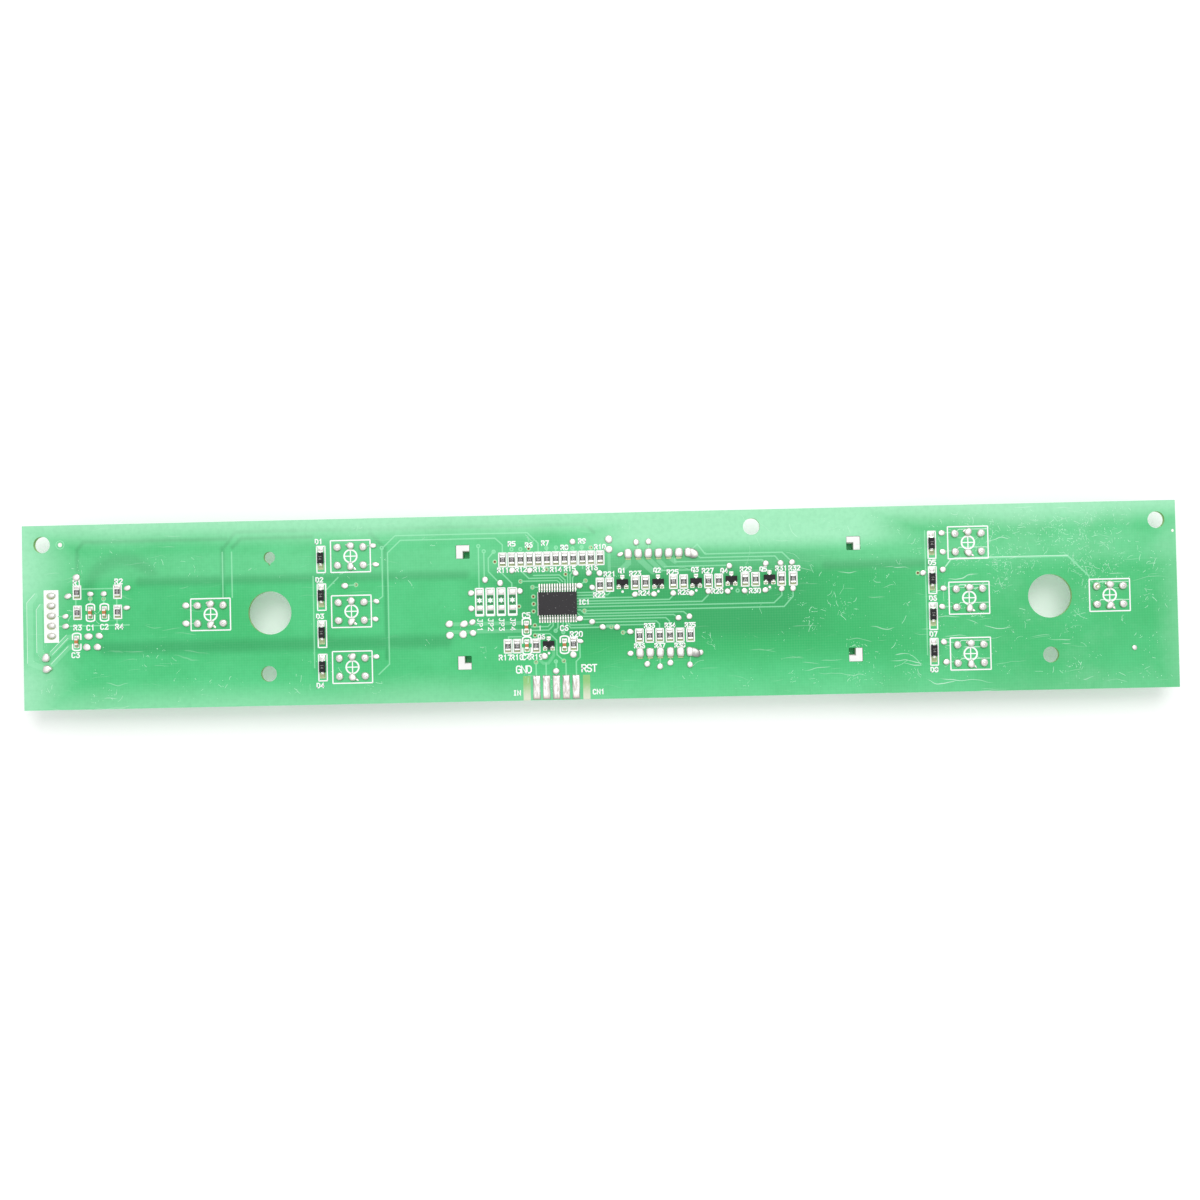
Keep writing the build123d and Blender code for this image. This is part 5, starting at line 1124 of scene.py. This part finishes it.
def clear(x, y):
    return not any(math.hypot(x - hx, y - hy) < hr for hx, hy, hr in ((-82.3, 0, 6.5), (113.4, 0, 6.5), (-82.5, 14.5, 3), (-82.5, -14.6, 3), (113.3, -14.6, 3)))


def nick(x, y, n, step, bend):
    a = r.uniform(0, 6.28)
    pts = [(x, y)]
    for _ in range(n):
        a += bend + r.uniform(-0.25, 0.25)
        x, y = x + step * math.cos(a), y + step * math.sin(a)
        pts.append((x, y))
    if max(abs(q[1]) for q in pts) < 22.3 and max(abs(q[0]) for q in pts) < 144 and all(clear(*q) for q in pts):
        stroke(mark, pts, r.choice((0.04, 0.06, 0.09)), TOP, TOP + 0.015)


for cluster in range(500):
    cx, cy = r.uniform(-142, 143), r.uniform(-21.5, 21.5)
    if cluster >= 400:
        cx, cy = r.uniform(92, 132), r.uniform(2, 22)
    if r.random() > density(cx, cy) or not clear(cx, cy):
        continue
    spread = r.uniform(0.6, 2.6)
    bend = r.uniform(-0.3, 0.3)
    for _ in range(r.randint(3, 12)):
        x, y = r.gauss(cx, spread), r.gauss(cy, spread * 0.8)
        if abs(y) > 22 or abs(x) > 143.5 or not clear(x, y):
            continue
        if r.random() < 0.6:
            prism(mark, ell(x, y, r.uniform(0.05, 0.14), r.uniform(0.04, 0.09), 7, r.uniform(0, 3)), TOP, TOP + 0.02)
        else:
            nick(x, y, r.randint(1, 4), r.uniform(0.2, 0.5), bend)
for _ in range(26):
    x, y = r.uniform(15, 141), r.uniform(-20, 20)
    nick(x, y, r.randint(3, 5), r.uniform(0.5, 1.1), r.uniform(-0.18, 0.18))
mark.make("handling_marks", [M["mark"]])

# ------------------------------------------------------------------ floor, light and camera
floor_mat = Mat("studio_paper", (0.90, 0.90, 0.90), 0.75, Emission_Strength=0.19)
floor_mat.p.inputs["Emission Color"].default_value = (1, 1, 1, 1)
fn = floor_mat.noise(0.02, 3.0)
floor_mat.color(floor_mat.mix(fn, (0.885, 0.885, 0.885), (0.905, 0.905, 0.905)))
me = bpy.data.meshes.new("floor")
S = 8.0
me.from_pydata([(-S, -S, -0.0002), (S, -S, -0.0002), (S, S, -0.0002), (-S, S, -0.0002)], [], [(0, 1, 2, 3)])
floor = bpy.data.objects.new("floor", me)
me.materials.append(floor_mat.m)
bpy.context.scene.collection.objects.link(floor)


def area(name, loc, aim, size, power, size_y=None):
    l = bpy.data.lights.new(name, "AREA")
    l.energy = power
    l.size = size
    if size_y:
        l.shape = "RECTANGLE"
        l.size_y = size_y
    o = bpy.data.objects.new(name, l)
    o.location = loc
    o.rotation_euler = (Vector(aim) - Vector(loc)).to_track_quat("-Z", "Y").to_euler()
    bpy.context.scene.collection.objects.link(o)


area("key", (0.13, 0.55, 1.25), (0, 0, 0), 0.7, 7.8)
area("fill", (-0.2, -0.1, 1.5), (-0.1, 0, 0), 1.2, 3.0)

world = bpy.data.worlds.new("studio")
bpy.context.scene.world = world
world.use_nodes = True
bg = world.node_tree.nodes["Background"]
bg.inputs[0].default_value = (1, 1, 1, 1)
bg.inputs[1].default_value = 0.62

cam = bpy.data.cameras.new("camera")
cam.sensor_width = 36
cam.lens = 53.73
cam.clip_end = 20
co = bpy.data.objects.new("camera", cam)
co.location = (10.78 * MM, -7.69 * MM, 460.92 * MM)
co.rotation_euler = Euler([math.radians(a) for a in (1.141, 1.272, -1.235)], "XYZ")
bpy.context.scene.collection.objects.link(co)
bpy.context.scene.camera = co
bpy.context.scene.view_settings.view_transform = "Standard"
bpy.context.scene.view_settings.look = "None"
